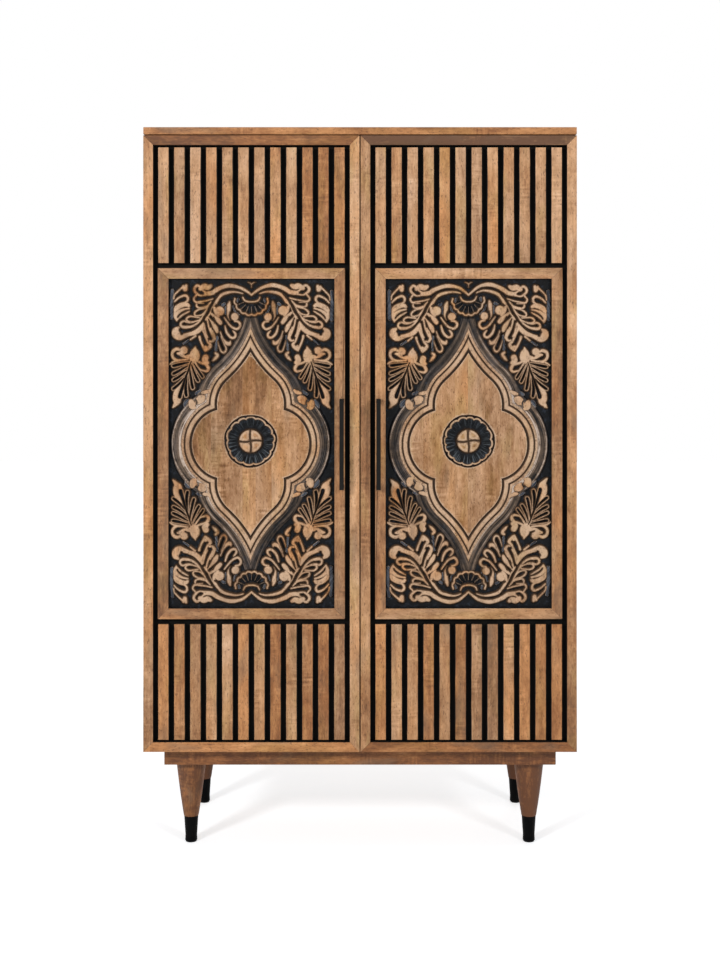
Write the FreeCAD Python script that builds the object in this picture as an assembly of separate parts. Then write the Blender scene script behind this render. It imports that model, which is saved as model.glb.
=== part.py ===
import FreeCAD, Part
import math
import os

# A tall two-door sideboard in natural and blackened hardwood, standing on four tapered legs.
# Each door is a mitred frame round a black backing board that carries a row of slats at the top,
# a framed carved panel in the middle and a second row of slats at the bottom.
# Units are millimetres. X runs to the right, Y runs from the doors to the back, Z runs up.
# The origin is on the floor, at the centre of the overall width and depth.

Vector = FreeCAD.Vector

# Overall sizes
WIDTH = 900.0
DEPTH = 400.0
HANDLE_REACH = 28.0
LEG_HEIGHT = 178.0
PLINTH_HEIGHT = 40.0
DOOR_HEIGHT = 1280.0
TOP_THICKNESS = 15.0
DOOR_DROP = 2.0
TOP_GAP = 2.0
BOARD = 18.0

# Depth positions, from the face of the doors backwards
FRONT = -(DEPTH + HANDLE_REACH) / 2 + HANDLE_REACH
BACK = FRONT + DEPTH
DOOR_THICKNESS = 22.0
DOOR_BACK = FRONT + DOOR_THICKNESS
DOOR_STANDOFF = 2.5
CASE_FRONT = DOOR_BACK + DOOR_STANDOFF

# Heights, from the floor up
CASE_UNDER = LEG_HEIGHT + PLINTH_HEIGHT
DOOR_LOW = CASE_UNDER - DOOR_DROP
DOOR_HIGH = DOOR_LOW + DOOR_HEIGHT
TOP_UNDER = DOOR_HIGH + TOP_GAP
HEIGHT = TOP_UNDER + TOP_THICKNESS
FLOOR_OF_CASE = CASE_UNDER + BOARD
HALF = WIDTH / 2

# Case
BACK_THICKNESS = 6.0
BACK_RABBET = 8.0
SHELF_COUNT = 3
SHELF_SETBACK = 20.0
SHELF_PLAY = 1.0
SHELF_NAMES = ("lower_shelf", "middle_shelf", "upper_shelf")
PIN_R = 2.5
PIN_IN_SIDE = 8.0
PIN_SHOWING = 8.0
PIN_Y = (FRONT + 80.0, FRONT + 340.0)

# Plinth and legs
PLINTH_INSET = 38.0
PLINTH_BACK_INSET = 10.0
PLINTH_RAIL = 20.0
PLINTH_CORNER_R = 3.0
LEG_INSET = 51.0
LEG_TOP_R = 32.0
LEG_BELLY_R = 23.6
LEG_BELLY_Z = 107.0
FERRULE_TOP = 56.0
LEG_AT_FERRULE_R = 15.9
FERRULE_TOP_R = 15.1
FERRULE_WAIST_R = 12.4
FERRULE_WAIST_Z = 14.0
FERRULE_FOOT_R = 13.0
FERRULE_WALL = 1.5
GLIDE_HEIGHT = 1.5
GLIDE_R = 11.5
BLOCK_SIDE = 70.0
BLOCK_HEIGHT = 28.0
LEG_BOLT_R = 4.0
LEG_BOLT_BELOW = 30.0
NUT_HEIGHT = 6.5
NUT_FLATS = 13.0

# Doors: sizes in the plane of the door
DOOR_GAP = 2.4
FRAME_WIDTH = 20.0
SLATS_PER_ROW = 12
SLAT_WIDTH = 22.2
SLAT_LENGTH = 239.8
SLAT_CHAMFER = 0.8
SIDE_GAP = 10.4
END_GAP = 5.0
MIDDLE_FRAME_HEIGHT = 728.0
MOULDING_WIDTH = 21.5

# Doors: positions through the thickness
BOARD_FACE = FRONT + 15.0
BACKING_THICKNESS = 6.0
BACKING_LAP = 6.0
SLAT_FACE = FRONT + 2.0
MOULDING_FACE = FRONT + 0.5
CARVED_FACE = FRONT + 3.0
CARVED_GROUND = FRONT + 10.0

# Carved medallion: one quarter of its outline is three arcs, all measured from its centre
SIDE_ARC_CENTRE = (55.0, 0.0)
SIDE_ARC_R = 71.7
SHOULDER_CENTRE = (0.0, 82.0)
SHOULDER_R = 72.0
OGEE_R = 240.0
OGEE_ANGLE = 48.0
BAND_WIDTH = 11.6
RIM_WIDTH = 22.0
GROOVE_WIDTH = 2.4
GROOVE_DEPTH = 2.0
RIM_FACE = CARVED_FACE + 2.5
ROSETTE_R = 54.0
ROSETTE_PETALS = 18
ROSETTE_SCALLOP = 2.6
ROSETTE_BUTTON_R = 24.0
ROSETTE_DEPTH = 4.0

# Butt hinges. Their knuckles lie in notches in the case, flush with its sides.
# The axis is nearer to the side than it is to the door, so the door clears the case past 90 degrees.
HINGE_LENGTH = 63.0
HINGE_FROM_END = 120.0
HINGE_Z = (DOOR_LOW + HINGE_FROM_END, DOOR_LOW + DOOR_HEIGHT / 2, DOOR_HIGH - HINGE_FROM_END)
HINGE_AXIS_X = HALF - 2.7
HINGE_AXIS_Y = DOOR_BACK + 3.4
KNUCKLE_R = 2.6
KNUCKLES = 5
KNUCKLE_PLAY = 0.3
HINGE_PIN_R = 1.2
HINGE_BORE_R = 1.25
LEAF_THICKNESS = 1.1
LEAF_REACH = 15.5
NOTCH_PLAY = 0.4
HINGE_SCREW_X = HALF - 11.5
HINGE_SCREW_Z = (-22.0, 0.0, 22.0)
HINGE_SCREW_LENGTH = 12.0
HINGE_SCREW_R = 1.5
HINGE_SCREW_HEAD_R = 2.6

# Handles, catches and the remaining screws
HANDLE_X = 38.0
HANDLE_LENGTH = 187.0
HANDLE_WIDTH = 9.0
HANDLE_BAR = 8.0
HANDLE_ROUND = 1.0
HANDLE_SCREW_R = 2.0
HANDLE_SCREW_HEAD_R = 4.0
HANDLE_SCREW_HEAD = 2.0
HANDLE_SCREW_BITE = 10.0
CATCH_X = (40.0, 80.0)
CATCH_HEIGHT = 14.0
CATCH_DEPTH = 21.0
CATCH_AIR = 0.4
STRIKE_THICKNESS = 1.2
STRIKE_FROM_EDGE = 2.0
BACK_SCREW_R = 1.5
BACK_SCREW_HEAD_R = 3.0
BACK_SCREW_HEAD = 2.0
BACK_SCREW_LENGTH = 20.0
BACK_SCREWS_PER_SIDE = 6
TINY = 0.01


def box(x, y, z):
    """A block between two values on each axis."""
    return Part.makeBox(x[1] - x[0], y[1] - y[0], z[1] - z[0], Vector(x[0], y[0], z[0]))


def rod(radius, start, direction, length):
    """A round bar from a point along a direction."""
    return Part.makeCylinder(radius, length, Vector(*start), Vector(*direction))


def countersunk_screw(start, direction, length, radius, head_r, head_depth):
    """A screw whose flat head starts at a point and whose shank runs along a direction."""
    head = Part.makeCone(head_r, radius, head_depth, Vector(*start), Vector(*direction))
    return head.fuse(rod(radius, start, direction, length)).removeSplitter()


def prism_xz(points, y_low, y_high):
    """An upright outline of (x, z) points, run from front to back."""
    wire = Part.makePolygon([Vector(x, y_low, z) for x, z in points + points[:1]])
    return Part.Face(wire).extrude(Vector(0, y_high - y_low, 0))


def prism_xy(points, z_low, z_high):
    """A flat outline of (x, y) points, run upwards."""
    wire = Part.makePolygon([Vector(x, y, z_low) for x, y in points + points[:1]])
    return Part.Face(wire).extrude(Vector(0, 0, z_high - z_low))


def turned(profile):
    """A solid turned about Z from (radius, z) points. A point's third value bows the line before it."""
    edges = []
    at = Vector(profile[0][0], 0, profile[0][1])
    for point in profile[1:]:
        to = Vector(point[0], 0, point[1])
        if len(point) == 3:
            middle = Vector(point[2][0], 0, point[2][1])
            edges.append(Part.Arc(at, middle, to).toShape())
        else:
            edges.append(Part.LineSegment(at, to).toShape())
        at = to
    edges.append(Part.LineSegment(at, Vector(profile[0][0], 0, profile[0][1])).toShape())
    return Part.Face(Part.Wire(edges)).revolve(Vector(0, 0, 0), Vector(0, 0, 1), 360)


def moved(shape, x, y, z):
    copy = shape.copy()
    copy.translate(Vector(x, y, z))
    return copy


def mirrored(shape):
    """The same shape on the other side of the centre plane."""
    return shape.mirror(Vector(0, 0, 0), Vector(1, 0, 0))


def cut_all(shape, tools):
    for tool in tools:
        shape = shape.cut(tool)
    return shape


def mitred_members(low, high, width):
    """Four mitred members of a rectangular frame as outlines, by the side that each is on."""
    (x0, y0), (x1, y1) = low, high
    outer = [(x0, y0), (x1, y0), (x1, y1), (x0, y1)]
    ix0, iy0, ix1, iy1 = x0 + width, y0 + width, x1 - width, y1 - width
    inner = [(ix0, iy0), (ix1, iy0), (ix1, iy1), (ix0, iy1)]
    members = {}
    for i, side in enumerate(("low", "right", "high", "left")):
        after = (i + 1) % 4
        members[side] = [outer[i], outer[after], inner[after], inner[i]]
    return members


def both_sides(shape):
    return [shape, mirrored(shape)]


# The case

def hinge_notches():
    """Room for the knuckles in the outer front edge of the right side panel."""
    reach = KNUCKLE_R + NOTCH_PLAY
    half = HINGE_LENGTH / 2 + NOTCH_PLAY
    return [
        box((HINGE_AXIS_X - reach, HALF + 1), (CASE_FRONT - 1, HINGE_AXIS_Y + reach), (z - half, z + half))
        for z in HINGE_Z
    ]


def shelf_undersides():
    room = (TOP_UNDER - FLOOR_OF_CASE - SHELF_COUNT * BOARD) / (SHELF_COUNT + 1)
    return [FLOOR_OF_CASE + room + i * (room + BOARD) for i in range(SHELF_COUNT)]


def right_shelf_pins():
    inside = HALF - BOARD
    return [
        rod(PIN_R, (inside - PIN_SHOWING, y, z - PIN_R), (1, 0, 0), PIN_SHOWING + PIN_IN_SIDE)
        for z in shelf_undersides()
        for y in PIN_Y
    ]


def back_screws():
    """Screws through the back panel into the rabbets of both side panels."""
    x = HALF - BOARD + BACK_RABBET / 2
    step = (TOP_UNDER - CASE_UNDER) / BACK_SCREWS_PER_SIDE
    right = [
        countersunk_screw(
            (x, BACK, CASE_UNDER + (i + 0.5) * step),
            (0, -1, 0),
            BACK_SCREW_LENGTH,
            BACK_SCREW_R,
            BACK_SCREW_HEAD_R,
            BACK_SCREW_HEAD,
        )
        for i in range(BACK_SCREWS_PER_SIDE)
    ]
    return right + [mirrored(screw) for screw in right]


def right_side_panel():
    panel = box((HALF - BOARD, HALF), (CASE_FRONT, BACK), (CASE_UNDER, TOP_UNDER))
    rabbet = box(
        (HALF - BOARD - 1, HALF - BOARD + BACK_RABBET),
        (BACK - BACK_THICKNESS, BACK + 1),
        (CASE_UNDER - 1, TOP_UNDER + 1),
    )
    return cut_all(panel, [rabbet] + hinge_notches() + right_shelf_pins())


def back_panel():
    reach = HALF - BOARD + BACK_RABBET
    return box((-reach, reach), (BACK - BACK_THICKNESS, BACK), (CASE_UNDER, TOP_UNDER))


def make_case(parts):
    inside = HALF - BOARD
    inner_back = BACK - BACK_THICKNESS
    screws = back_screws()
    side = cut_all(right_side_panel(), screws + hinge_screws(CASE_FRONT - LEAF_THICKNESS, 1))
    parts["top_panel"] = [box((-HALF, HALF), (FRONT, BACK), (TOP_UNDER, HEIGHT))]
    parts["right_side_panel"] = [side]
    parts["left_side_panel"] = [mirrored(side)]
    parts["bottom_panel"] = [box((-inside, inside), (CASE_FRONT, inner_back), (CASE_UNDER, FLOOR_OF_CASE))]
    parts["back_panel"] = [cut_all(back_panel(), screws)]
    parts["back_panel_screws"] = screws
    for name, z in zip(SHELF_NAMES, shelf_undersides()):
        parts[name] = [
            box(
                (-inside + SHELF_PLAY, inside - SHELF_PLAY),
                (CASE_FRONT + SHELF_SETBACK, inner_back - SHELF_PLAY),
                (z, z + BOARD),
            )
        ]
    pins = right_shelf_pins()
    parts["shelf_pins"] = pins + [mirrored(pin) for pin in pins]


# The plinth and the legs

def leg_places():
    x = HALF - PLINTH_INSET - LEG_INSET
    front = FRONT + PLINTH_INSET + LEG_INSET
    rear = BACK - PLINTH_BACK_INSET - LEG_INSET
    return {
        "front_left": (-x, front),
        "front_right": (x, front),
        "rear_left": (-x, rear),
        "rear_right": (x, rear),
    }


def make_plinth(parts):
    low = (-HALF + PLINTH_INSET, FRONT + PLINTH_INSET)
    high = (HALF - PLINTH_INSET, BACK - PLINTH_BACK_INSET)
    outer = box((low[0], high[0]), (low[1], high[1]), (LEG_HEIGHT, CASE_UNDER))
    corners = [e for e in outer.Edges if abs(e.Vertexes[0].Z - e.Vertexes[1].Z) > 1]
    outer = outer.makeFillet(PLINTH_CORNER_R, corners)
    members = mitred_members(low, high, PLINTH_RAIL)
    names = {"low": "front", "right": "right", "high": "rear", "left": "left"}
    for side, points in members.items():
        rail = prism_xy(points, LEG_HEIGHT, CASE_UNDER).common(outer)
        parts["plinth_" + names[side] + "_rail"] = [rail.Solids[0]]


def corner_block(x, y):
    """A block in the plinth's corner. Its two outer faces lie on the rails."""
    inner_x = HALF - PLINTH_INSET - PLINTH_RAIL
    if y < 0:
        near = FRONT + PLINTH_INSET + PLINTH_RAIL
        span = (near, near + BLOCK_SIDE)
    else:
        near = BACK - PLINTH_BACK_INSET - PLINTH_RAIL
        span = (near - BLOCK_SIDE, near)
    block = box((inner_x - BLOCK_SIDE, inner_x), span, (LEG_HEIGHT, LEG_HEIGHT + BLOCK_HEIGHT))
    if x < 0:
        block = mirrored(block)
    return block


def hex_nut():
    corner = NUT_FLATS / math.sqrt(3)
    angles = [math.radians(60 * i) for i in range(6)]
    points = [(corner * math.cos(a), corner * math.sin(a)) for a in angles]
    return prism_xy(points, 0, NUT_HEIGHT).cut(rod(LEG_BOLT_R, (0, 0, -1), (0, 0, 1), NUT_HEIGHT + 2))


def make_legs(parts):
    tenon_r = FERRULE_WAIST_R - FERRULE_WALL
    cap = GLIDE_HEIGHT + FERRULE_WALL
    tenon_low = cap + TINY
    bolt_length = LEG_BOLT_BELOW + BLOCK_HEIGHT + NUT_HEIGHT + 2
    bolt = rod(LEG_BOLT_R, (0, 0, LEG_HEIGHT - LEG_BOLT_BELOW), (0, 0, 1), bolt_length)
    leg = turned([
        (0, tenon_low),
        (tenon_r, tenon_low),
        (tenon_r, FERRULE_TOP),
        (LEG_AT_FERRULE_R, FERRULE_TOP),
        (LEG_TOP_R, LEG_HEIGHT, (LEG_BELLY_R, LEG_BELLY_Z)),
        (0, LEG_HEIGHT),
    ]).cut(bolt)
    ferrule = turned([
        (0, GLIDE_HEIGHT),
        (FERRULE_FOOT_R - 1.5, GLIDE_HEIGHT),
        (FERRULE_FOOT_R, GLIDE_HEIGHT + 1.5),
        (FERRULE_WAIST_R, FERRULE_WAIST_Z),
        (FERRULE_TOP_R, FERRULE_TOP),
        (tenon_r, FERRULE_TOP),
        (tenon_r, cap),
        (0, cap),
    ])
    blocks, bolts, nuts, glides = [], [], [], []
    for place, (x, y) in leg_places().items():
        parts["leg_" + place] = [moved(leg, x, y, 0)]
        parts["ferrule_" + place] = [moved(ferrule, x, y, 0)]
        blocks.append(corner_block(x, y).cut(moved(bolt, x, y, 0)))
        bolts.append(moved(bolt, x, y, 0))
        nuts.append(moved(hex_nut(), x, y, LEG_HEIGHT + BLOCK_HEIGHT))
        glides.append(rod(GLIDE_R, (x, y, 0), (0, 0, 1), GLIDE_HEIGHT))
    parts["plinth_corner_blocks"] = blocks
    parts["leg_bolts"] = bolts
    parts["leg_bolt_nuts"] = nuts
    parts["leg_glides"] = glides


# The hinges

def knuckle_spans(first):
    """Height spans of every second knuckle, from the first or the second one."""
    pitch = HINGE_LENGTH / KNUCKLES
    lows = [i * pitch - HINGE_LENGTH / 2 for i in range(first, KNUCKLES, 2)]
    return [(low + KNUCKLE_PLAY / 2, low + pitch - KNUCKLE_PLAY / 2) for low in lows]


def hinge_screws(face_y, direction):
    """Screws of the right side whose heads lie flush in a leaf's face."""
    return [
        countersunk_screw(
            (HINGE_SCREW_X, face_y, z + dz),
            (0, direction, 0),
            HINGE_SCREW_LENGTH,
            HINGE_SCREW_R,
            HINGE_SCREW_HEAD_R,
            LEAF_THICKNESS,
        )
        for z in HINGE_Z
        for dz in HINGE_SCREW_Z
    ]


def hinge_leaf(y_low, first, bore_r, screws):
    """One leaf of each right hinge: a flat plate with every second knuckle on it."""
    edge = HINGE_AXIS_X - KNUCKLE_R - NOTCH_PLAY
    leaves = []
    for z in HINGE_Z:
        flat = (y_low, y_low + LEAF_THICKNESS)
        leaf = box((HINGE_AXIS_X - LEAF_REACH, edge), flat, (z - HINGE_LENGTH / 2, z + HINGE_LENGTH / 2))
        for low, high in knuckle_spans(first):
            tongue = box((edge - 1, HINGE_AXIS_X), flat, (z + low, z + high))
            barrel = rod(KNUCKLE_R, (HINGE_AXIS_X, HINGE_AXIS_Y, z + low), (0, 0, 1), high - low)
            leaf = leaf.fuse(tongue).fuse(barrel)
        bore = rod(bore_r, (HINGE_AXIS_X, HINGE_AXIS_Y, z - HINGE_LENGTH), (0, 0, 1), 2 * HINGE_LENGTH)
        leaves.append(cut_all(leaf, [bore] + screws).removeSplitter())
    return leaves


def make_case_hinges(parts):
    face = CASE_FRONT - LEAF_THICKNESS
    screws = hinge_screws(face, 1)
    leaves = hinge_leaf(face, 0, HINGE_PIN_R, screws)
    pins = [
        rod(HINGE_PIN_R, (HINGE_AXIS_X, HINGE_AXIS_Y, z - HINGE_LENGTH / 2), (0, 0, 1), HINGE_LENGTH)
        for z in HINGE_Z
    ]
    parts["hinge_case_leaves"] = leaves + [mirrored(s) for s in leaves]
    parts["hinge_case_screws"] = screws + [mirrored(s) for s in screws]
    parts["hinge_pins"] = pins + [mirrored(s) for s in pins]


# The doors, drawn for the right side

def door_rectangle():
    return (DOOR_GAP / 2, DOOR_LOW), (HALF, DOOR_HIGH)


def field_rectangle():
    """The opening inside a door's outer frame."""
    (x0, z0), (x1, z1) = door_rectangle()
    return (x0 + FRAME_WIDTH, z0 + FRAME_WIDTH), (x1 - FRAME_WIDTH, z1 - FRAME_WIDTH)


def middle_rectangle():
    """The outside of the frame round the carved panel."""
    (x0, z0), (x1, z1) = field_rectangle()
    middle = (z0 + z1) / 2
    half = MIDDLE_FRAME_HEIGHT / 2
    return (x0 + SIDE_GAP, middle - half), (x1 - SIDE_GAP, middle + half)


def backing_board():
    (x0, z0), (x1, z1) = field_rectangle()
    return box(
        (x0 - BACKING_LAP, x1 + BACKING_LAP),
        (BOARD_FACE, BOARD_FACE + BACKING_THICKNESS),
        (z0 - BACKING_LAP, z1 + BACKING_LAP),
    )


def backing_rabbet():
    (x0, z0), (x1, z1) = field_rectangle()
    return box(
        (x0 - BACKING_LAP, x1 + BACKING_LAP),
        (BOARD_FACE, DOOR_BACK + 1),
        (z0 - BACKING_LAP, z1 + BACKING_LAP),
    )


def slat_row(z_low):
    """A row of slats with softened front edges."""
    (x0, _), (x1, _) = middle_rectangle()
    pitch = (x1 - x0 - SLAT_WIDTH) / (SLATS_PER_ROW - 1)
    slats = []
    for i in range(SLATS_PER_ROW):
        left = x0 + i * pitch
        right = left + SLAT_WIDTH
        outline = [
            (left, BOARD_FACE),
            (left, SLAT_FACE + SLAT_CHAMFER),
            (left + SLAT_CHAMFER, SLAT_FACE),
            (right - SLAT_CHAMFER, SLAT_FACE),
            (right, SLAT_FACE + SLAT_CHAMFER),
            (right, BOARD_FACE),
        ]
        slats.append(prism_xy(outline, z_low, z_low + SLAT_LENGTH))
    return slats


def arc_points(centre, radius, start, end):
    """Start, middle and end of an arc, from angles in degrees."""
    angles = [math.radians(a) for a in (start, (start + end) / 2, end)]
    return [(centre[0] + radius * math.cos(a), centre[1] + radius * math.sin(a)) for a in angles]


def medallion_quarter(grow):
    """Three arcs of the outline's upper right quarter, from the side to the peak, grown outwards."""
    side_r = SIDE_ARC_R + grow
    shoulder_r = SHOULDER_R + grow
    ogee_r = OGEE_R - grow
    turn = math.radians(OGEE_ANGLE)
    reach = SHOULDER_R + OGEE_R
    ogee_centre = (SHOULDER_CENTRE[0] + reach * math.cos(turn), SHOULDER_CENTRE[1] + reach * math.sin(turn))
    dx = SHOULDER_CENTRE[0] - SIDE_ARC_CENTRE[0]
    dz = SHOULDER_CENTRE[1] - SIDE_ARC_CENTRE[1]
    apart = math.hypot(dx, dz)
    along = (side_r ** 2 - shoulder_r ** 2 + apart ** 2) / (2 * apart)
    off = math.sqrt(side_r ** 2 - along ** 2)
    cusp_x = SIDE_ARC_CENTRE[0] + (along * dx + off * dz) / apart
    cusp_z = SIDE_ARC_CENTRE[1] + (along * dz - off * dx) / apart
    side_end = math.degrees(math.atan2(cusp_z - SIDE_ARC_CENTRE[1], cusp_x - SIDE_ARC_CENTRE[0]))
    shoulder_start = math.degrees(math.atan2(cusp_z - SHOULDER_CENTRE[1], cusp_x - SHOULDER_CENTRE[0]))
    peak_z = ogee_centre[1] - math.sqrt(ogee_r ** 2 - ogee_centre[0] ** 2)
    ogee_end = math.degrees(math.atan2(peak_z - ogee_centre[1], -ogee_centre[0])) + 360
    return [
        arc_points(SIDE_ARC_CENTRE, side_r, 0, side_end),
        arc_points(SHOULDER_CENTRE, shoulder_r, shoulder_start, OGEE_ANGLE),
        arc_points(ogee_centre, ogee_r, OGEE_ANGLE + 180, ogee_end),
    ]


def medallion(grow, y_low, y_high):
    """A solid with the whole medallion outline, centred on X and Z."""
    quarter = medallion_quarter(grow)
    rounds = [
        quarter,
        [[(-x, z) for x, z in reversed(arc)] for arc in reversed(quarter)],
        [[(-x, -z) for x, z in arc] for arc in quarter],
        [[(x, -z) for x, z in reversed(arc)] for arc in reversed(quarter)],
    ]
    edges = [
        Part.Arc(*[Vector(x, y_low, z) for x, z in arc]).toShape()
        for arcs in rounds
        for arc in arcs
    ]
    return Part.Face(Part.Wire(edges)).extrude(Vector(0, y_high - y_low, 0))


def rosette_ring():
    """The sunk ring of petals round the button, as a cutting tool centred on X and Z."""
    low = CARVED_FACE - 1
    deep = CARVED_FACE + ROSETTE_DEPTH
    step = 360.0 / ROSETTE_PETALS
    edges = []
    for i in range(ROSETTE_PETALS):
        ends = arc_points((0, 0), ROSETTE_R - ROSETTE_SCALLOP, i * step, (i + 1) * step)
        crown = arc_points((0, 0), ROSETTE_R, i * step, (i + 1) * step)[1]
        points = [ends[0], crown, ends[2]]
        edges.append(Part.Arc(*[Vector(x, low, z) for x, z in points]).toShape())
    disc = Part.Face(Part.Wire(edges)).extrude(Vector(0, deep - low, 0))
    return disc.cut(rod(ROSETTE_BUTTON_R, (0, low - 1, 0), (0, 1, 0), deep - low + 2))


def carved_panel():
    """The carved board: sunk ground, rim, band and field of the medallion, and its rosette."""
    (x0, z0), (x1, z1) = middle_rectangle()
    slab = box(
        (x0 + MOULDING_WIDTH, x1 - MOULDING_WIDTH),
        (CARVED_GROUND, BOARD_FACE),
        (z0 + MOULDING_WIDTH, z1 - MOULDING_WIDTH),
    )
    half_groove = GROOVE_WIDTH / 2
    tall = medallion(BAND_WIDTH + half_groove, CARVED_FACE, CARVED_GROUND + TINY)
    rim = medallion(RIM_WIDTH, RIM_FACE, CARVED_GROUND + TINY)
    groove_floor = CARVED_FACE + GROOVE_DEPTH
    groove = medallion(half_groove, CARVED_FACE - 1, groove_floor)
    groove = groove.cut(medallion(-half_groove, CARVED_FACE - 2, groove_floor + 1))
    relief = tall.cut(groove).cut(rosette_ring()).fuse(rim)
    return slab.fuse(moved(relief, (x0 + x1) / 2, 0, (z0 + z1) / 2)).removeSplitter()


def door_handle():
    """A square bar that stands on a short leg at each end."""
    middle = (DOOR_LOW + DOOR_HIGH) / 2
    x = (HANDLE_X - HANDLE_WIDTH / 2, HANDLE_X + HANDLE_WIDTH / 2)
    z = (middle - HANDLE_LENGTH / 2, middle + HANDLE_LENGTH / 2)
    bar = box(x, (FRONT - HANDLE_REACH, MOULDING_FACE), z)
    gap = box(
        (x[0] - 1, x[1] + 1),
        (FRONT - HANDLE_REACH + HANDLE_BAR, MOULDING_FACE + 1),
        (z[0] + HANDLE_BAR, z[1] - HANDLE_BAR),
    )
    front_edges = [
        e for e in bar.Edges
        if all(abs(v.Y - (FRONT - HANDLE_REACH)) < TINY for v in e.Vertexes)
    ]
    return bar.makeFillet(HANDLE_ROUND, front_edges).cut(gap)


def handle_screws():
    """Screws from the back of the door into the ends of the handle."""
    middle = (DOOR_LOW + DOOR_HIGH) / 2
    reach = HANDLE_LENGTH / 2 - HANDLE_BAR / 2
    face = BOARD_FACE + BACKING_THICKNESS
    screws = []
    for z in (middle - reach, middle + reach):
        head = rod(HANDLE_SCREW_HEAD_R, (HANDLE_X, face, z), (0, 1, 0), HANDLE_SCREW_HEAD)
        length = face - MOULDING_FACE + HANDLE_SCREW_BITE
        shank = rod(HANDLE_SCREW_R, (HANDLE_X, face, z), (0, -1, 0), length)
        screws.append(head.fuse(shank).removeSplitter())
    return screws


def right_door():
    """Every piece of the right door, by name, with no side in the names."""
    rabbet = backing_rabbet()
    leaf_screws = hinge_screws(DOOR_BACK + LEAF_THICKNESS, -1)
    knobs = handle_screws()
    members = mitred_members(*door_rectangle(), FRAME_WIDTH)
    names = {"low": "bottom_rail", "right": "outer_stile", "high": "top_rail", "left": "inner_stile"}
    door = {}
    for side, points in members.items():
        member = prism_xz(points, FRONT, DOOR_BACK).cut(rabbet)
        if side == "right":
            member = cut_all(member, leaf_screws)
        door[names[side]] = [member]
    (_, field_low), (_, field_high) = field_rectangle()
    mouldings = mitred_members(*middle_rectangle(), MOULDING_WIDTH)
    door["panel_frame"] = [
        cut_all(prism_xz(points, MOULDING_FACE, BOARD_FACE), knobs) for points in mouldings.values()
    ]
    door["backing_board"] = [cut_all(backing_board(), knobs)]
    door["upper_slats"] = slat_row(field_high - END_GAP - SLAT_LENGTH)
    door["lower_slats"] = slat_row(field_low + END_GAP)
    door["carved_panel"] = [carved_panel()]
    door["handle"] = [cut_all(door_handle(), knobs)]
    door["handle_screws"] = knobs
    door["hinge_leaves"] = hinge_leaf(DOOR_BACK, 1, HINGE_BORE_R, leaf_screws)
    door["hinge_screws"] = leaf_screws
    strike_y = (DOOR_BACK, DOOR_BACK + STRIKE_THICKNESS)
    strike_z = (TOP_UNDER - CATCH_HEIGHT, DOOR_HIGH - STRIKE_FROM_EDGE)
    door["strike_plate"] = [box(CATCH_X, strike_y, strike_z)]
    return door


def make_doors(parts):
    for name, solids in right_door().items():
        parts["right_door_" + name] = solids
        parts["left_door_" + name] = [mirrored(s) for s in solids]
    catch_front = DOOR_BACK + STRIKE_THICKNESS + CATCH_AIR
    catch = box(CATCH_X, (catch_front, catch_front + CATCH_DEPTH), (TOP_UNDER - CATCH_HEIGHT, TOP_UNDER))
    parts["magnetic_catches"] = both_sides(catch)


def write(parts):
    os.makedirs("parts", exist_ok=True)
    for name, solids in parts.items():
        for solid in solids:
            if not solid.isValid() or solid.Volume <= 0:
                raise ValueError("bad solid in " + name)
        shape = solids[0] if len(solids) == 1 else Part.makeCompound(solids)
        shape.exportStep(os.path.join("parts", name + ".step"))


def main():
    parts = {}
    make_case(parts)
    make_plinth(parts)
    make_legs(parts)
    make_case_hinges(parts)
    make_doors(parts)
    write(parts)
    print(len(parts), "nodes,", sum(len(s) for s in parts.values()), "solids")


main()
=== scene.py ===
import math

import bpy
import numpy as np
from mathutils import Matrix, Vector


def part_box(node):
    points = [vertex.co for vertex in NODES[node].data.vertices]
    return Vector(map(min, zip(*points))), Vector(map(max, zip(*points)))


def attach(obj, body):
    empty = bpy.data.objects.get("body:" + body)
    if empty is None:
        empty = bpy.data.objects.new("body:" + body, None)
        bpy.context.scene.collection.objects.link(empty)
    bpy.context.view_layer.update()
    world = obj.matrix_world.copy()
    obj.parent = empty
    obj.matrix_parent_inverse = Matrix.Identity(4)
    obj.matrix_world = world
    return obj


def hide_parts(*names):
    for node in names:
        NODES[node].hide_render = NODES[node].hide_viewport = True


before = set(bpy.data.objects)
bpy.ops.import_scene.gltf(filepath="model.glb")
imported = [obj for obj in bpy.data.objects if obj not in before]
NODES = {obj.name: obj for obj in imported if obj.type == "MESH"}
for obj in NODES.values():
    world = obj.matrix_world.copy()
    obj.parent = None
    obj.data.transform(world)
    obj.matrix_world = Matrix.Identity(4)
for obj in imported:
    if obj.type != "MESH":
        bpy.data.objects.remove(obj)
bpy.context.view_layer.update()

# Places and sizes that come from the frame, in metres.
DOORS = ("left_door", "right_door")
DOOR_SIGN = {"left_door": -1, "right_door": 1}
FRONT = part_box("left_door_outer_stile")[0].y
DOOR_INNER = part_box("right_door_inner_stile")
DOOR_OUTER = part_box("right_door_outer_stile")
OPENING_X = (DOOR_INNER[1].x, DOOR_OUTER[0].x)
OPENING_Z = (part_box("right_door_bottom_rail")[1].z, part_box("right_door_top_rail")[0].z)
PANEL_LOW, PANEL_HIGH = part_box("right_door_carved_panel")
PANEL_X = (PANEL_LOW.x + PANEL_HIGH.x) / 2
PANEL_Z = (PANEL_LOW.z + PANEL_HIGH.z) / 2
CARVED_FACE_Y = PANEL_LOW.y
BOARD_Y = PANEL_HIGH.y
FRAME_LOW, FRAME_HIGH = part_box("right_door_panel_frame")
SLATS_LOW, SLATS_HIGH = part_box("right_door_upper_slats")
SLAT_COUNT = 12
SLAT_WIDTH = 0.0222
SLAT_PITCH = (SLATS_HIGH.x - SLATS_LOW.x - SLAT_WIDTH) / (SLAT_COUNT - 1)
MM = 0.001
# Half the carved board's width and height, in millimetres.
PANEL_HALVES = ((PANEL_HIGH.x - PANEL_LOW.x) / 2 * 1000, (PANEL_HIGH.z - PANEL_LOW.z) / 2 * 1000)


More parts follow.
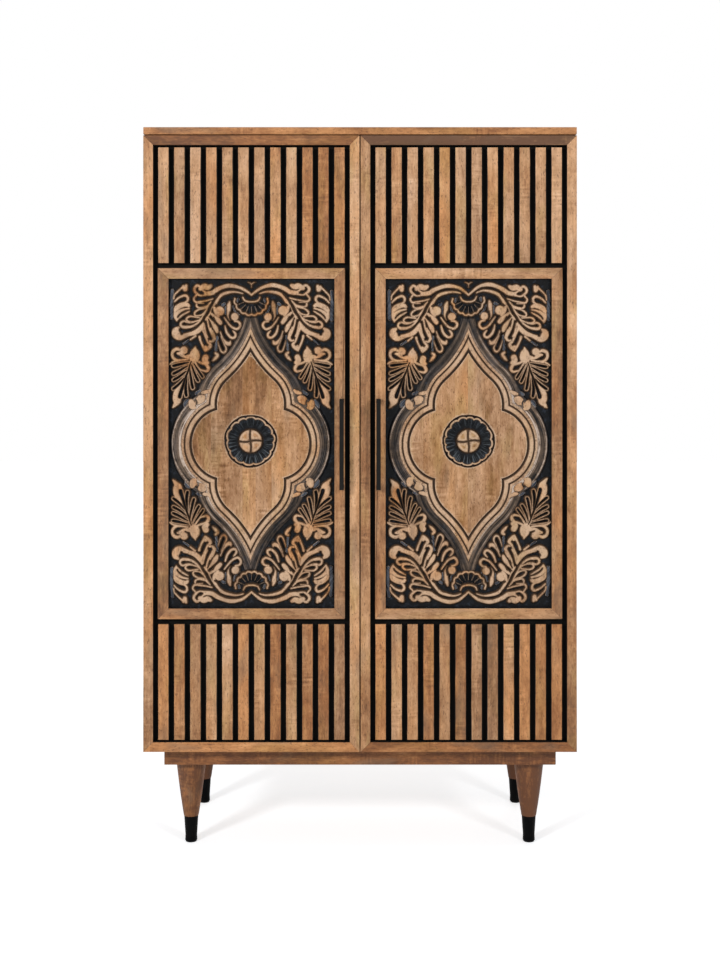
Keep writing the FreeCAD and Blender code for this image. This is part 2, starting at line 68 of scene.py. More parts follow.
def linear(red, green, blue):
    """A colour given as 0 to 255 per channel, in the linear values that shaders take."""
    return tuple((c / 255) ** 2.2 for c in (red, green, blue)) + (1.0,)


# Colours of the finishes.
WOOD_DEEP = linear(96, 66, 46)
WOOD_DARK = linear(140, 102, 72)
WOOD_MIDDLE = linear(178, 138, 105)
WOOD_LIGHT = linear(204, 163, 130)
WOOD_PALE = linear(224, 190, 160)
WOOD_GREY = linear(116, 94, 74)
KNOT = linear(66, 40, 26)
PORE = linear(84, 56, 38)
# Tints that the wood's colour is multiplied by.
PLAIN_TINT = (1.0, 1.0, 1.0, 1.0)
HONEY_TINT = (1.0, 0.925, 0.79, 1.0)
RUSSET_TINT = (1.0, 0.77, 0.5, 1.0)
OLIVE_TINT = (0.84, 0.9, 0.72, 1.0)
# Pale limed wood, partly paint left on the wood and partly painted highlight.
LIMED_AND_HIGHLIGHT = linear(204, 174, 146)
SCORCHED = linear(70, 46, 30)
SCORCHED_GROUND = linear(74, 58, 45)
BLACK_PAINT = linear(21, 20, 19)
BLACK_GROUND = linear(11, 13, 16)
SCUFFED_GROUND = linear(54, 60, 70)
PETAL_STREAK = linear(92, 98, 102)
BRUSHED_DARK = linear(70, 60, 52)
BRUSHED_MIDDLE = linear(116, 97, 82)
BRUSHED_LIGHT = linear(198, 178, 162)
BRUSHED_COOL = linear(84, 87, 94)
BRUSHED_SHADE = linear(42, 44, 50)
STEEL = linear(186, 186, 182)
BLACK_METAL = linear(5, 5, 6)
HANDLE_METAL = linear(18, 16, 13)
BLACK_STREAK = linear(36, 34, 32)
BLACK_DUST = linear(46, 43, 41)
GLIDE = linear(34, 34, 35)
CATCH = linear(206, 204, 198)
FLOOR = linear(225, 229, 233)
WHITE = (1.0, 1.0, 1.0, 1.0)
OILED = {"Specular_IOR_Level": 0.38}
# How far behind the face of a moulding and of a slat the black paint begins.
PAINT_DEPTH = 0.0016
SLAT_PAINT_DEPTH = 0.0014
PAINT_SLACK = 0.0007


class Value:
    """What a node gives. Arithmetic with it adds further nodes to its tree."""

    def __init__(self, tree, socket):
        self.tree = tree
        self.socket = socket

    def __add__(self, other):
        return self.tree.math("ADD", self, other)

    def __sub__(self, other):
        return self.tree.math("SUBTRACT", self, other)

    def __rsub__(self, other):
        return self.tree.math("SUBTRACT", other, self)

    def __mul__(self, other):
        return self.tree.math("MULTIPLY", self, other)

    def __abs__(self):
        return self.tree.math("ABSOLUTE", self)

    __radd__ = __add__


class Tree:
    """The node tree of a material or a world, with short calls for the nodes that the finishes use."""

    def __init__(self, owner, ending="ShaderNodeOutputMaterial"):
        owner.use_nodes = True
        self.owner = owner
        self.nodes = owner.node_tree.nodes
        self.links = owner.node_tree.links
        self.nodes.clear()
        self.output = self.nodes.new(ending)

    def node(self, kind, inputs=None, **settings):
        made = self.nodes.new("ShaderNode" + kind)
        for key, value in settings.items():
            setattr(made, key, value)
        for key, value in (inputs or {}).items():
            self.put(made.inputs[key], value)
        return made

    def end(self, made):
        """Sends what the node gives to the tree's output."""
        self.put(self.output.inputs["Surface"], made.outputs[0])

    def put(self, socket, value):
        if isinstance(value, Value):
            value = value.socket
        if isinstance(value, bpy.types.NodeSocket):
            self.links.new(value, socket)
        else:
            socket.default_value = value

    def value(self, output, kind, inputs=None, **settings):
        """Makes a node and returns the output that has that name or number."""
        return Value(self, self.node(kind, inputs, **settings).outputs[output])

    def math(self, operation, a, b=0.0, c=0.0):
        return self.value(0, "Math", {0: a, 1: b, 2: c}, operation=operation)

    def vector(self, operation, a, b=(0.0, 0.0, 0.0)):
        return self.value("Vector", "VectorMath", {0: a, 1: b}, operation=operation)

    def length(self, vector):
        return self.value("Value", "VectorMath", {0: vector}, operation="LENGTH")

    def scaled(self, point, x, y, z):
        return self.vector("MULTIPLY", point, (x, y, z))

    def ease(self, value, low, high):
        """Runs smoothly from 0 at low to 1 at high. Low may be the larger of the two."""
        ends = {"Value": value, "From Min": low, "From Max": high}
        return self.value("Result", "MapRange", ends, interpolation_type="SMOOTHSTEP")

    def noise(self, point, scale=1.0, detail=2.0, roughness=0.5, output="Fac"):
        inputs = {"Vector": point, "Scale": scale, "Detail": detail, "Roughness": roughness}
        return self.value(output, "TexNoise", inputs)

    def white_noise(self, x, y, z):
        """A random number and a random colour for each place in the join of x, y and z."""
        made = self.node("TexWhiteNoise", {"Vector": self.join(x, y, z)}, noise_dimensions="3D")
        return Value(self, made.outputs["Value"]), Value(self, made.outputs["Color"])

    def mix(self, factor, a, b, blend="MIX"):
        made = self.node("Mix", data_type="RGBA", blend_type=blend)
        self.put(made.inputs[0], factor)
        self.put(made.inputs[6], a)
        self.put(made.inputs[7], b)
        return Value(self, made.outputs[2])

    def cover(self, colour, mask, amount, other, blend="MIX"):
        """Lays that amount of the other colour over the first, where the mask is."""
        return self.mix(mask * amount, colour, other, blend)

    def ramp(self, value, stops):
        made = self.node("ValToRGB", {"Fac": value})
        elements = made.color_ramp.elements
        while len(elements) < len(stops):
            elements.new(0.5)
        for element, (place, colour) in zip(elements, stops):
            element.position = place
            element.color = colour
        return Value(self, made.outputs["Color"])

    def split(self, point):
        made = self.node("SeparateXYZ", {"Vector": point})
        return tuple(Value(self, output) for output in made.outputs)

    def join(self, x, y, z):
        return self.value("Vector", "CombineXYZ", {"X": x, "Y": y, "Z": z})

    def attribute(self, name):
        return self.value("Fac", "Attribute", attribute_name=name)

    def finish(self, colour, roughness, height, bump=0.3, reach=0.0005, **numbers):
        """Ends the tree in a Principled shader. Numbers that are the same all over go on its own sockets."""
        surface = self.node("BsdfPrincipled", {"Base Color": colour, "Roughness": roughness})
        for key, value in numbers.items():
            surface.inputs[key.replace("_", " ")].default_value = value
        bumps = self.node("Bump", {"Height": height, "Strength": bump, "Distance": reach})
        self.put(surface.inputs["Normal"], bumps.outputs["Normal"])
        self.end(surface)
        return self.owner


def new_material(name):
    """The node tree of a new material, and where a point is on the object, in metres."""
    tree = Tree(bpy.data.materials.new(name))
    return tree, tree.value("Object", "TexCoord")


def along_grain(tree, point, axis):
    """The point with its third coordinate along the board."""
    x, y, z = tree.split(point)
    order = {"X": (z, y, x), "Y": (x, z, y), "Z": (x, y, z)}[axis]
    return tree.join(*order)


def mango_grain(tree, point, shift, tone, warmth, figure, ripple=0.7):
    """Colour, surface height and roughness of oiled mango wood. The grain runs along the point's third axis.

    Tone runs from 0, dark, to 1, pale. Warmth runs from 0, pinkish, to 1, russet.
    """
    p = tree.vector("ADD", point, shift)
    wander = tree.noise(tree.scaled(p, 7, 7, 2.2), output="Color")
    wander = tree.vector("SUBTRACT", wander, (0.5, 0.5, 0.5))
    p = tree.vector("ADD", p, tree.scaled(wander, 0.03, 0.03, 0.0))
    # Each layer: how fine it is across and along the grain, how rough, and how much it counts.
    layers = [
        ((12, 12, 2.6), 0.5, 0.8 * figure),
        ((36, 36, 13), 0.6, 0.75 * figure),
        ((95, 95, 36), 0.6, 0.6),
        ((170, 170, 7), 0.6, 0.45),
        ((320, 320, 110), 0.65, 0.5),
    ]
    value = tone
    for fineness, rough, weight in layers:
        layer = tree.noise(tree.scaled(p, *fineness), detail=3.0, roughness=rough)
        value += (layer - 0.5) * weight
    curl = tree.noise(tree.scaled(p, 28, 28, 190)) - 0.5
    curly = tree.ease(tree.noise(tree.scaled(p, 16, 16, 12)), 0.52, 0.64)
    value += curly * curl * ripple
    shades = [(0.0, WOOD_DEEP), (0.28, WOOD_DARK), (0.55, WOOD_MIDDLE), (0.78, WOOD_LIGHT), (1.0, WOOD_PALE)]
    colour = tree.ramp(value, shades)
    hues = tree.noise(tree.scaled(p, 24, 24, 7), output="Color")
    warmer, greener, greyer = tree.split(hues)
    warmth += warmer * 1.6 - 0.8
    tint = tree.ramp(warmth, [(0.0, PLAIN_TINT), (0.5, HONEY_TINT), (1.0, RUSSET_TINT)])
    colour = tree.mix(1.0, colour, tint, blend="MULTIPLY")
    colour = tree.cover(colour, tree.ease(greener, 0.5, 0.68), 0.7, OLIVE_TINT, "MULTIPLY")
    colour = tree.cover(colour, tree.ease(greyer, 0.58, 0.74), 0.5 * figure, WOOD_GREY)
    porous = tree.ease(tree.noise(tree.scaled(p, 430, 430, 150), detail=1.0), 0.62, 0.7)
    colour = tree.cover(colour, porous, 0.55, PORE)

    spots = {"Vector": tree.scaled(p, 9, 9, 3.2), "Scale": 1.0}
    cell = tree.node("TexVoronoi", spots, feature="F1")
    chosen = tree.math("GREATER_THAN", tree.split(cell.outputs["Color"])[0], 0.84)
    knot = chosen * tree.ease(cell.outputs["Distance"], 0.075, 0.02)
    colour = tree.cover(colour, knot, 0.8, KNOT)

    height = porous * -0.8 + value * 0.5
    roughness = value * -0.12 + 0.6
    return colour, height, roughness


def glued_planks(tree, across, width, draw):
    """Numbers of the uneven strips that a board is glued from, and the lines between them."""
    place = across * (1 / width)
    sway = tree.math("SINE", place * 2.4)
    place = sway * 0.3 + (place + draw)
    strip = tree.math("FLOOR", place)
    edge = abs(tree.math("FRACT", place) - 0.5)
    return strip, tree.ease(edge, 0.485, 0.5)


def board(name, axis, tone, draw, warmth=0.5, figure=1.0, plank=None, painted=None, rise=0.0):
    """Mango wood for one board.

    A plank width and the axis across glue it up from strips. Painted is the depth where black paint
    begins, and rise is how much paler the board is one metre higher up.
    """
    tree, point = new_material(name)
    shift = (0.31 * draw, 0.17 * draw, 0.73 * draw)
    if rise:
        tone = tree.split(point)[2] * rise + (tone - rise * PANEL_Z)
    if plank:
        width, crossing = plank
        across = tree.split(point)["XYZ".index(crossing)]
        strip, line = glued_planks(tree, across, width, draw)
        value, colours = tree.white_noise(strip, draw, 0.0)
        shift = tree.vector("ADD", tree.scaled(colours, 1.7, 1.3, 2.9), shift)
        tone = value * 0.24 + (tone - 0.12)
        warmth = tree.split(colours)[1] * 0.4 + (warmth - 0.2)
    turned = along_grain(tree, point, axis)
    colour, height, roughness = mango_grain(tree, turned, shift, tone, warmth, figure)
    if plank:
        colour = tree.cover(colour, line, 0.4, WOOD_DEEP)
    if painted is not None:
        colour = painted_sides(tree, point, colour, painted)
    return tree.finish(colour, roughness, height, **OILED)


def painted_sides(tree, point, colour, depth):
    """Black paint on what lies inside the door's opening and behind the depth."""
    x, y, z = tree.split(point)
    ragged = tree.noise(point, 240) * 0.0008 - 0.0004
    mask = tree.math("GREATER_THAN", y + ragged, depth)
    for value, (low, high) in ((abs(x), OPENING_X), (z, OPENING_Z)):
        mask *= tree.math("GREATER_THAN", value, low - PAINT_SLACK)
        mask *= tree.math("LESS_THAN", value, high + PAINT_SLACK)
    return tree.mix(mask, colour, BLACK_PAINT)


def slats_finish(name, draw, tone, warmth):
    """Mango slats, each its own tone and grain, with black sides."""
    tree, point = new_material(name)
    first_edge = SLATS_LOW.x - (SLAT_PITCH - SLAT_WIDTH) / 2
    place = (abs(tree.split(point)[0]) - first_edge) * (1 / SLAT_PITCH)
    number = tree.math("FLOOR", place)
    value, colours = tree.white_noise(number, draw * 1.37, 0.5)
    shift = tree.scaled(colours, 2.3, 1.9, 3.7)
    tone = value * 0.26 + (tone - 0.13)
    warmth = tree.split(colours)[1] * 0.9 + warmth
    colour, height, roughness = mango_grain(tree, point, shift, tone, warmth, 0.85)
    from_middle = abs(place - number - 0.5) * SLAT_PITCH
    wave = tree.noise(tree.scaled(point, 30, 30, 22))
    reach = wave * -0.0022 + (SLAT_WIDTH / 2 + 0.0007)
    colour = tree.mix(tree.math("GREATER_THAN", from_middle, reach), colour, BLACK_PAINT)
    colour = painted_sides(tree, point, colour, SLATS_LOW.y + SLAT_PAINT_DEPTH)
    return tree.finish(colour, roughness, height, **OILED)


def mitred_finish(name, sign, draw, left_tone):
    """The moulding round the carved panel: the grain follows each member, and the mitres are fine lines."""
    tree, point = new_material(name)
    x, y, z = tree.split(point)
    dx = x - sign * PANEL_X
    dz = z - PANEL_Z
    from_side = (FRAME_HIGH.x - FRAME_LOW.x) / 2 - abs(dx)
    from_end = (FRAME_HIGH.z - FRAME_LOW.z) / 2 - abs(dz)
    crossing = from_side - from_end
    level = tree.math("GREATER_THAN", crossing, 0.0)
    along = tree.node("Mix", data_type="VECTOR")
    tree.put(along.inputs[0], level)
    tree.put(along.inputs[4], tree.join(x, y, z))
    tree.put(along.inputs[5], tree.join(z, y, x))
    # Each member's number: -1 and 1 for the uprights, -3 and 3 for the level ones.
    member = tree.math("SIGN", dx) * (1.0 - level)
    member = tree.math("SIGN", dz) * (level * 3.0) + member
    value, colours = tree.white_noise(member, draw, 0.25)
    shift = tree.scaled(colours, 1.1, 0.9, 2.3)
    upright = value * 0.1 + (tree.math("COMPARE", member, -1.0, 0.5) * left_tone + 0.28)
    tone = level * (tree.math("SIGN", dz) * 0.015 + 0.125) + upright
    colour, height, roughness = mango_grain(tree, along.outputs[1], shift, tone, 0.55, 0.85)
    seam = tree.ease(abs(crossing), 0.0006, 0.0002)
    colour = tree.cover(colour, seam, 0.8, KNOT)
    colour = painted_sides(tree, point, colour, FRAME_LOW.y + PAINT_DEPTH)
    return tree.finish(colour, roughness, height, **OILED)


def petal_streaks(tree, x, z, flower):
    """Fine streaks that run out from the middle of the rosette, with more in its lower half as painted light
    on the petals.
    """
    dx = x - flower[0]
    dz = z - flower[1]
    away = tree.join(dx, 0.0, dz)
    radius = tree.length(away)
    ray = tree.scaled(tree.vector("NORMALIZE", away), 15, 15, 15)
    ray = tree.vector("ADD", ray, tree.join(0.0, radius * 30, 0.0))
    streak = tree.ease(tree.noise(ray), 0.5, 0.66)
    ring = tree.ease(radius, 0.027, 0.036) * tree.ease(radius, 0.0495, 0.048)
    # Painted light: more streaks in the lower half stand for light falling on the lower petals.
    lower_half_painted_light = tree.ease(dz, 0.03, -0.01) * 0.65 + 0.35
    return streak * ring * lower_half_painted_light


def carved_wood(tree, point, outline, draw, leaf_tone, field_tone, rise):
    """Grain of the carved board's bare wood, and where the leaves are golden."""
    x, _, z = tree.split(point)
    strip, line = glued_planks(tree, x, 0.042, draw * 0.37)
    value, colours = tree.white_noise(strip, draw, 0.75)
    shift = tree.scaled(colours, 1.3, 1.1, 2.1)
    inside = tree.ease(outline, 3.0, -3.0)
    field = (z - PANEL_Z) * rise + (field_tone - leaf_tone)
    tone = inside * field + (value * 0.16 + leaf_tone)
    golden = tree.ease(tree.noise(point, 11), 0.5, 0.62) * tree.ease(outline, 16, 24)
    warmth = tree.split(colours)[2] * 0.6 + golden * 0.38
    colour, height, roughness = mango_grain(tree, point, shift, tone, warmth, figure=0.9, ripple=0.9)
    return tree.cover(colour, line, 0.25, WOOD_DEEP), height, roughness, golden


def aged(tree, point, edge, golden, colour):
    """Pale patches, partly limed paint and partly painted highlight, and dirt on the high parts, and wood
    scorched along its edges.
    """
    patch = tree.ease(tree.noise(point, 20), 0.38, 0.62)
    # Partly pale paint left on the wood and partly painted highlight, on the high parts near their edges.
    limed_and_highlight = patch * 0.4 + (golden * -0.3 + 0.3)
    colour = tree.mix(tree.ease(edge, -6.5, -3.5) * limed_and_highlight, colour, LIMED_AND_HIGHLIGHT)
    dirt = tree.ease(tree.noise(point, 190, 3.0, 0.6), 0.53, 0.7) * tree.ease(edge, -7.5, -5.5)
    colour = tree.cover(colour, dirt, 0.45, SCORCHED)
    return tree.cover(colour, tree.ease(edge, -2.2, 0.4), 0.88, SCORCHED)


def brushed_paint(tree, point, edge, outline, flower):
    """The black ground with paint brushed over it along the medallion's outline, and how deep it lies."""
    x, _, z = tree.split(point)
    strokes = tree.join(outline * 0.42, x * 16, z * 16)
    along = tree.noise(strokes, 1.0, 3.0, 0.6)
    dab = tree.noise(point, 120, 4.0, 0.6)
    brush = along * 0.75 + dab * 0.25
    brushed = tree.attribute("brushed")
    strength = brushed * 0.14 + brush
    amount = brushed * tree.ease(strength, 0.38, 0.68)
    scuff = tree.ease(tree.noise(point, 90, 4.0, 0.7), 0.5, 0.74)
    ground = tree.cover(BLACK_GROUND, scuff, 0.6, SCUFFED_GROUND)
    ground = tree.cover(ground, petal_streaks(tree, x, z, flower), 0.65, PETAL_STREAK)
    ground = tree.mix(tree.ease(edge, 4.2, 0.6), ground, SCORCHED_GROUND)
    shades = [(0.0, BRUSHED_DARK), (0.4, BRUSHED_DARK), (0.75, BRUSHED_MIDDLE), (1.0, BRUSHED_LIGHT)]
    cool = tree.ease(tree.noise(point, 26), 0.5, 0.64) * 0.22
    cool = tree.math("MAXIMUM", cool, tree.ease(brushed, 1.0, 1.1))
    bluish = tree.mix(tree.ease(brush, 0.4, 0.6), BRUSHED_SHADE, BRUSHED_COOL)
    paint = tree.mix(cool, tree.ramp(amount, shades), bluish)
    covered = tree.ease(brushed, 1.0, 1.4) * 1.1 + 0.45
    return tree.mix(tree.ease(amount, 0.0, covered), ground, paint), along + dab


def carved_finish(name, draw, flower, tones):
    """Bare wood on the high parts, scorched at its edges, and a black ground with brushed paint below.

    Flower is the middle of the rosette, across and up. Tones are those of the leaves and of the medallion's
    field, and how much paler the field is one metre higher up.
    """
    tree, point = new_material(name)
    outline = tree.attribute("outline")
    colour, height, roughness, golden = carved_wood(tree, point, outline, draw, *tones)
    ragged = tree.noise(point, 300, 4.0, 0.6)
    edge = ragged * 2.0 - 1.0 + tree.attribute("bare_edge")
    colour = aged(tree, point, edge, golden, colour)
    paint, depth = brushed_paint(tree, point, edge, outline, flower)
    painted = tree.ease(edge, -0.2, 0.5)
    colour = tree.mix(painted, colour, paint)
    height = depth * painted * 1.4 + height
    return tree.finish(colour, roughness, height, bump=0.35, Specular_IOR_Level=0.12)


def black_stain(name):
    """Stained black boards: a little grain and dust in the pores."""
    tree, point = new_material(name)
    streak = tree.noise(tree.scaled(point, 260, 260, 9), detail=4.0)
    cloud = tree.noise(point, 12, 3.0)
    colour = tree.cover(BLACK_PAINT, streak, 0.4, BLACK_STREAK)
    colour = tree.cover(colour, tree.ease(cloud, 0.45, 0.75), 0.2, BLACK_DUST)
    roughness = streak * 0.25 + 0.55
    return tree.finish(colour, roughness, streak, bump=0.25, Specular_IOR_Level=0.05)


def dull_metal(name, colour, rough, metallic, grain, specular=0.5):
    """Metal with a fine uneven skin."""
    tree, point = new_material(name)
    fine = tree.noise(point, grain, 3.0)
    cloud = tree.noise(point, 46, 3.0)
    lighter = tuple(min(1.0, c * 1.7 + 0.004) for c in colour[:3]) + (1.0,)
    shade = tree.cover(colour, tree.ease(cloud, 0.4, 0.7), 0.45, lighter)
    roughness = fine * 0.2 + (rough - 0.1)
    numbers = {"Metallic": metallic, "Specular_IOR_Level": specular}
    return tree.finish(shade, roughness, fine, bump=0.12, reach=0.0002, **numbers)


def moulded_plastic(name, colour, rough):
    """Plain plastic with a fine matt skin."""
    tree, point = new_material(name)
    fine = tree.noise(point, 1600)
    darker = tuple(c * 0.75 for c in colour[:3]) + (1.0,)
    shade = tree.cover(colour, fine, 0.3, darker)
    return tree.finish(shade, fine * 0.15 + rough, fine, bump=0.1, reach=0.0002)


def wear(node, material):
    """Gives a CAD node its finish."""
    for slot in NODES[node].material_slots:
        slot.material = material


def soften(node, width):
    """Rounds a CAD node's edges slightly, as sanding does."""
    piece = NODES[node]
    weld = piece.modifiers.new("weld", "WELD")
    weld.merge_threshold = 0.00001
    bevel = piece.modifiers.new("soft_edges", "BEVEL")
    bevel.width = width
    bevel.segments = 2
    bevel.limit_method = "ANGLE"
    bevel.angle_limit = math.radians(40)
    bevel.use_clamp_overlap = True
    normals = piece.modifiers.new("flat_faces", "WEIGHTED_NORMAL")
    normals.weight = 100


def dress(node, finish, *values, soft=None, **more):
    """Gives a CAD node a finish of its own and, where soft is given, rounds its edges by that much."""
    wear(node, finish(node, *values, **more))
    if soft:
        soften(node, soft)


# Leaf work of one quarter, in millimetres. Each point is across from the panel's centre line, up from its
# middle, and half the stroke's width.
SCROLL = [
    [(95, 310, 3.5), (80, 312, 4), (72, 317, 4.5), (62, 322, 4), (50, 326, 4), (40, 327, 4), (28, 325, 3.2),
     (18, 321, 3), (8, 314, 2.2), (0, 307, 1.8)],
    [(17, 311, 1.3), (28, 314, 1.6), (38, 314, 2.2), (48, 312, 2.8), (57, 309, 3), (66, 303, 3.2),
     (73, 293, 3.5), (77, 283, 3), (76, 272, 3), (70, 264, 3)],
    [(66, 274, 9.5)],
    [(84, 292, 1), (88, 288, 1.2), (92, 282, 1.2), (96, 274, 1.2), (101, 266, 1.4), (106, 258, 1.8),
     (112, 250, 1.8)],
    [(80, 285, 1.2), (85, 277, 1.5), (88, 268, 1.5), (93, 262, 1.5), (97, 256, 1.5)],
]
UPPER_LEAF = [
    [(106, 320, 4.5), (98, 324, 6), (90, 322, 5.5), (84, 325, 3.5)],
    [(106, 320, 1.5), (95.5, 312.5, 2), (85, 311, 3)],
    [(106, 321, 2), (109, 325, 2.4), (114, 326, 2.8), (119, 320, 2.8), (118, 314, 2.6), (114, 310, 2.4),
     (110, 307, 2), (105, 305.5, 1.6), (95, 307, 1.8), (85, 308, 2.2), (78, 310, 2.5)],
    [(114, 308, 1.8), (117, 304, 1.8), (120.5, 299.5, 1.8), (119, 294.5, 2), (115, 292, 2),
     (105, 293.5, 1.6), (97, 294.5, 1.5), (90, 296, 1.5), (80, 298.5, 1.5)],
    [(112, 290.5, 1.2), (100, 290, 1)],
    [(115, 288, 1.6), (115, 284, 2), (111, 280.5, 2), (105, 280, 2.6), (98, 281, 3), (92, 284, 2.2),
     (88, 289, 1.5), (84, 293, 1.2)],
    [(100, 279, 1.5), (110, 277, 1.5), (117, 273, 2), (120, 268, 1.8), (118, 264, 1.7), (112, 264, 1.5),
     (105, 266, 1.5), (100, 270, 1.5), (95, 276, 1.5)],
    [(110, 260, 1.5), (118, 261, 1.5), (128, 262, 1.8), (134, 259.5, 2), (136.5, 255, 2), (133, 251, 1.8),
     (126, 250.5, 1.4), (120, 251.5, 1.4), (112, 254, 1.8), (106, 258, 2)],
    [(122, 250, 1.4), (130, 248.5, 1.4), (136, 249.5, 1.8), (141, 251.5, 2), (146, 249, 2.2),
     (148, 245, 2.2), (147, 241, 2.6), (142, 238.5, 3), (135, 239, 3), (130, 239.5, 2.5), (123, 242, 2.2),
     (117, 246, 2), (112, 250, 1.8), (108, 254, 1.8)],
    [(152, 237, 2.5), (158, 231, 6), (156, 223, 8), (149, 217, 6), (140, 220, 5), (130, 224, 4),
     (120, 228, 5.5), (113, 234, 6.5), (108, 240, 6), (103, 248, 3)],
    [(117, 221, 2), (122, 217, 1.8), (126.5, 213, 1.8)],
    [(109, 220, 2.5), (107, 213, 2), (104, 206, 2), (101, 200, 2.3), (98, 194, 2.2), (96.5, 190, 1.2),
     (93, 194, 3), (88, 199, 3.5), (86, 204, 3), (91, 209, 2.2), (94, 215, 2), (97, 222, 2), (101, 231, 2),
     (104, 238, 3)],
    [(96, 198, 4)],
    [(100, 247, 1.5), (99, 238, 2), (97, 228, 2.2), (93, 220, 2)],
    [(94, 258, 1.8), (92.5, 250, 1.6), (90, 240, 1.8), (86, 231, 2), (82, 224, 2.5), (79, 219, 2.8),
     (80, 214, 2.8), (84, 211, 2), (88, 212, 1.8)],
    [(94, 262, 2.5), (89, 255, 3), (82, 247, 4.2), (76, 239, 4.6), (73, 232, 3.2)],
    [(86, 237, 3.2), (81, 226, 3.4), (78, 217, 3)],
    [(84, 268, 2.5), (77, 262, 3.5), (71, 256, 4.8), (66, 250, 4.2)],
]
INNER_LEAF = [
    [(34.5, 262, 8)],
    [(35, 253, 1.8), (28, 252, 2.2), (23.5, 247, 2.5), (24.5, 241, 2.5), (30, 236.5, 2.3), (36, 238, 2.3),
     (43, 242, 2), (50, 250, 1.8), (57, 260, 1.2)],
    [(56, 243, 1.5), (54, 235, 2.2), (51, 228, 2.5), (46, 222, 2.5), (40, 218.5, 2.5), (34.5, 220, 2.5),
     (33, 225, 2.3), (36, 230, 2), (39, 233, 1.2)],
]
# Strokes whose tops are darker, as less of the stain was rubbed off them.
DIM_STROKES = [
    [(44, 293, 2.5), (46, 285, 5), (47, 275, 4.5), (48, 265, 4), (45, 257, 3)],
    [(66, 231, 2.2), (64, 226, 2), (61, 220, 2), (57, 214, 2.5), (52, 208, 4.5), (46, 207, 4.5),
     (44, 212, 2)],
    [(71, 212, 1.3), (69, 205, 1.8), (66, 197, 2.2), (63, 191, 2.5), (58, 189, 3), (54, 192, 2.8),
     (53, 198, 2.6), (56, 204, 2.2), (60, 213, 2), (64, 222, 2)],
    [(75, 187, 3.5), (71, 183, 4), (76, 176, 4), (81, 171, 2)],
    [(141.5, 324, 4.5), (138, 318, 5), (136.5, 326, 4)],
]
SHELL = [
    [(17, 303, 1.2), (14, 297, 1.5), (10, 294.5, 1.6), (5, 293, 1.6), (0, 292.8, 1.6)],
]
SHELL_MIDDLE = 299
LOBES_PER_RIGHT_ANGLE = 4
LOWER_LEAF = [
    [(116, 198, 1), (117, 192, 4), (117, 184, 9), (118, 176, 10), (122, 170, 5)],
    [(139, 190, 8)],
    [(146, 190, 2.4), (153, 193, 3.4), (160, 190, 3.4), (163, 184, 2.8), (162, 177, 2.8), (157, 171.5, 2.8),
     (150, 170, 1.8), (140, 170.5, 1.6), (131, 171.5, 1.8)],
    [(152, 184, 2), (146, 183, 4), (140, 179, 4), (133, 177, 4), (126, 177, 5)],
    [(95, 177, 6), (97, 170, 6), (92, 166, 4)],
    [(115, 170, 2.2), (108, 166, 2.4), (102, 164, 2.5), (95, 162, 3), (91, 157, 3.5), (90, 152, 3),
     (94, 148, 2.5), (100, 148.5, 2), (107, 151, 1.5), (112, 158, 1.4), (116, 166, 1.4)],
    [(131, 171, 1.6), (150, 168.5, 1.6), (158, 168, 1.8), (163, 166, 1.8), (168, 162.5, 1.6)],
    [(144, 125, 1.2), (148, 118, 2.2), (153, 111, 3.5), (157, 103, 5), (158, 92, 5.5), (156, 84, 5),
     (160, 76, 3)],
    [(150, 94, 5), (152, 86, 6), (158, 79, 4), (163, 73, 1.5)],
]
# Drop-shaped cuts of the lower leaf: its midrib and one in each lobe, which has a rim round it.
LOBE_CUTS = [
    [(124, 167, 0.8), (127, 160, 1.1), (130, 150, 1.7), (134, 140, 2.0), (138.5, 129, 2.3), (142, 118, 2.8),
     (145.5, 107, 3.5), (148, 98.5, 3.9), (148.5, 95, 3.8)],
    [(129, 165, 0.8), (137, 163.5, 1.9), (145, 161.8, 2.5), (152, 160.5, 2.9), (159, 159.3, 3.0),
     (161.5, 159, 2.6)],
    [(131.5, 157.5, 0.8), (138, 154.5, 1.9), (145, 150.5, 2.4), (152, 147, 2.7), (159, 144, 2.8),
     (162, 142.8, 2.4)],
    [(135, 147, 0.8), (140, 143.5, 1.9), (145, 139.5, 2.3), (152, 135, 2.6), (159, 131.5, 2.8),
     (162, 130, 2.4)],
    [(140, 133, 0.8), (145, 126.5, 2.0), (150, 121.5, 2.5), (156, 116.5, 2.8), (160, 113.5, 2.9),
     (162.5, 112, 2.5)],
    [(119, 163, 0.8), (114.5, 155, 1.7), (109.5, 147, 2.1), (105, 140, 2.3), (102, 135.5, 2.2)],
    [(123.5, 160, 0.8), (121, 151, 1.8), (117.8, 142, 2.3), (114, 133, 2.6), (111, 127.5, 2.5)],
    [(127.5, 153, 0.8), (127, 143, 1.8), (125.3, 132, 2.4), (123.7, 121, 2.8), (121.5, 112.5, 2.7)],
    [(133.5, 136, 0.8), (135, 125, 2.0), (136.3, 114, 2.9), (135.8, 104, 3.3), (134.5, 97.5, 3.0)],
]
LOBE_RIM = 1.8
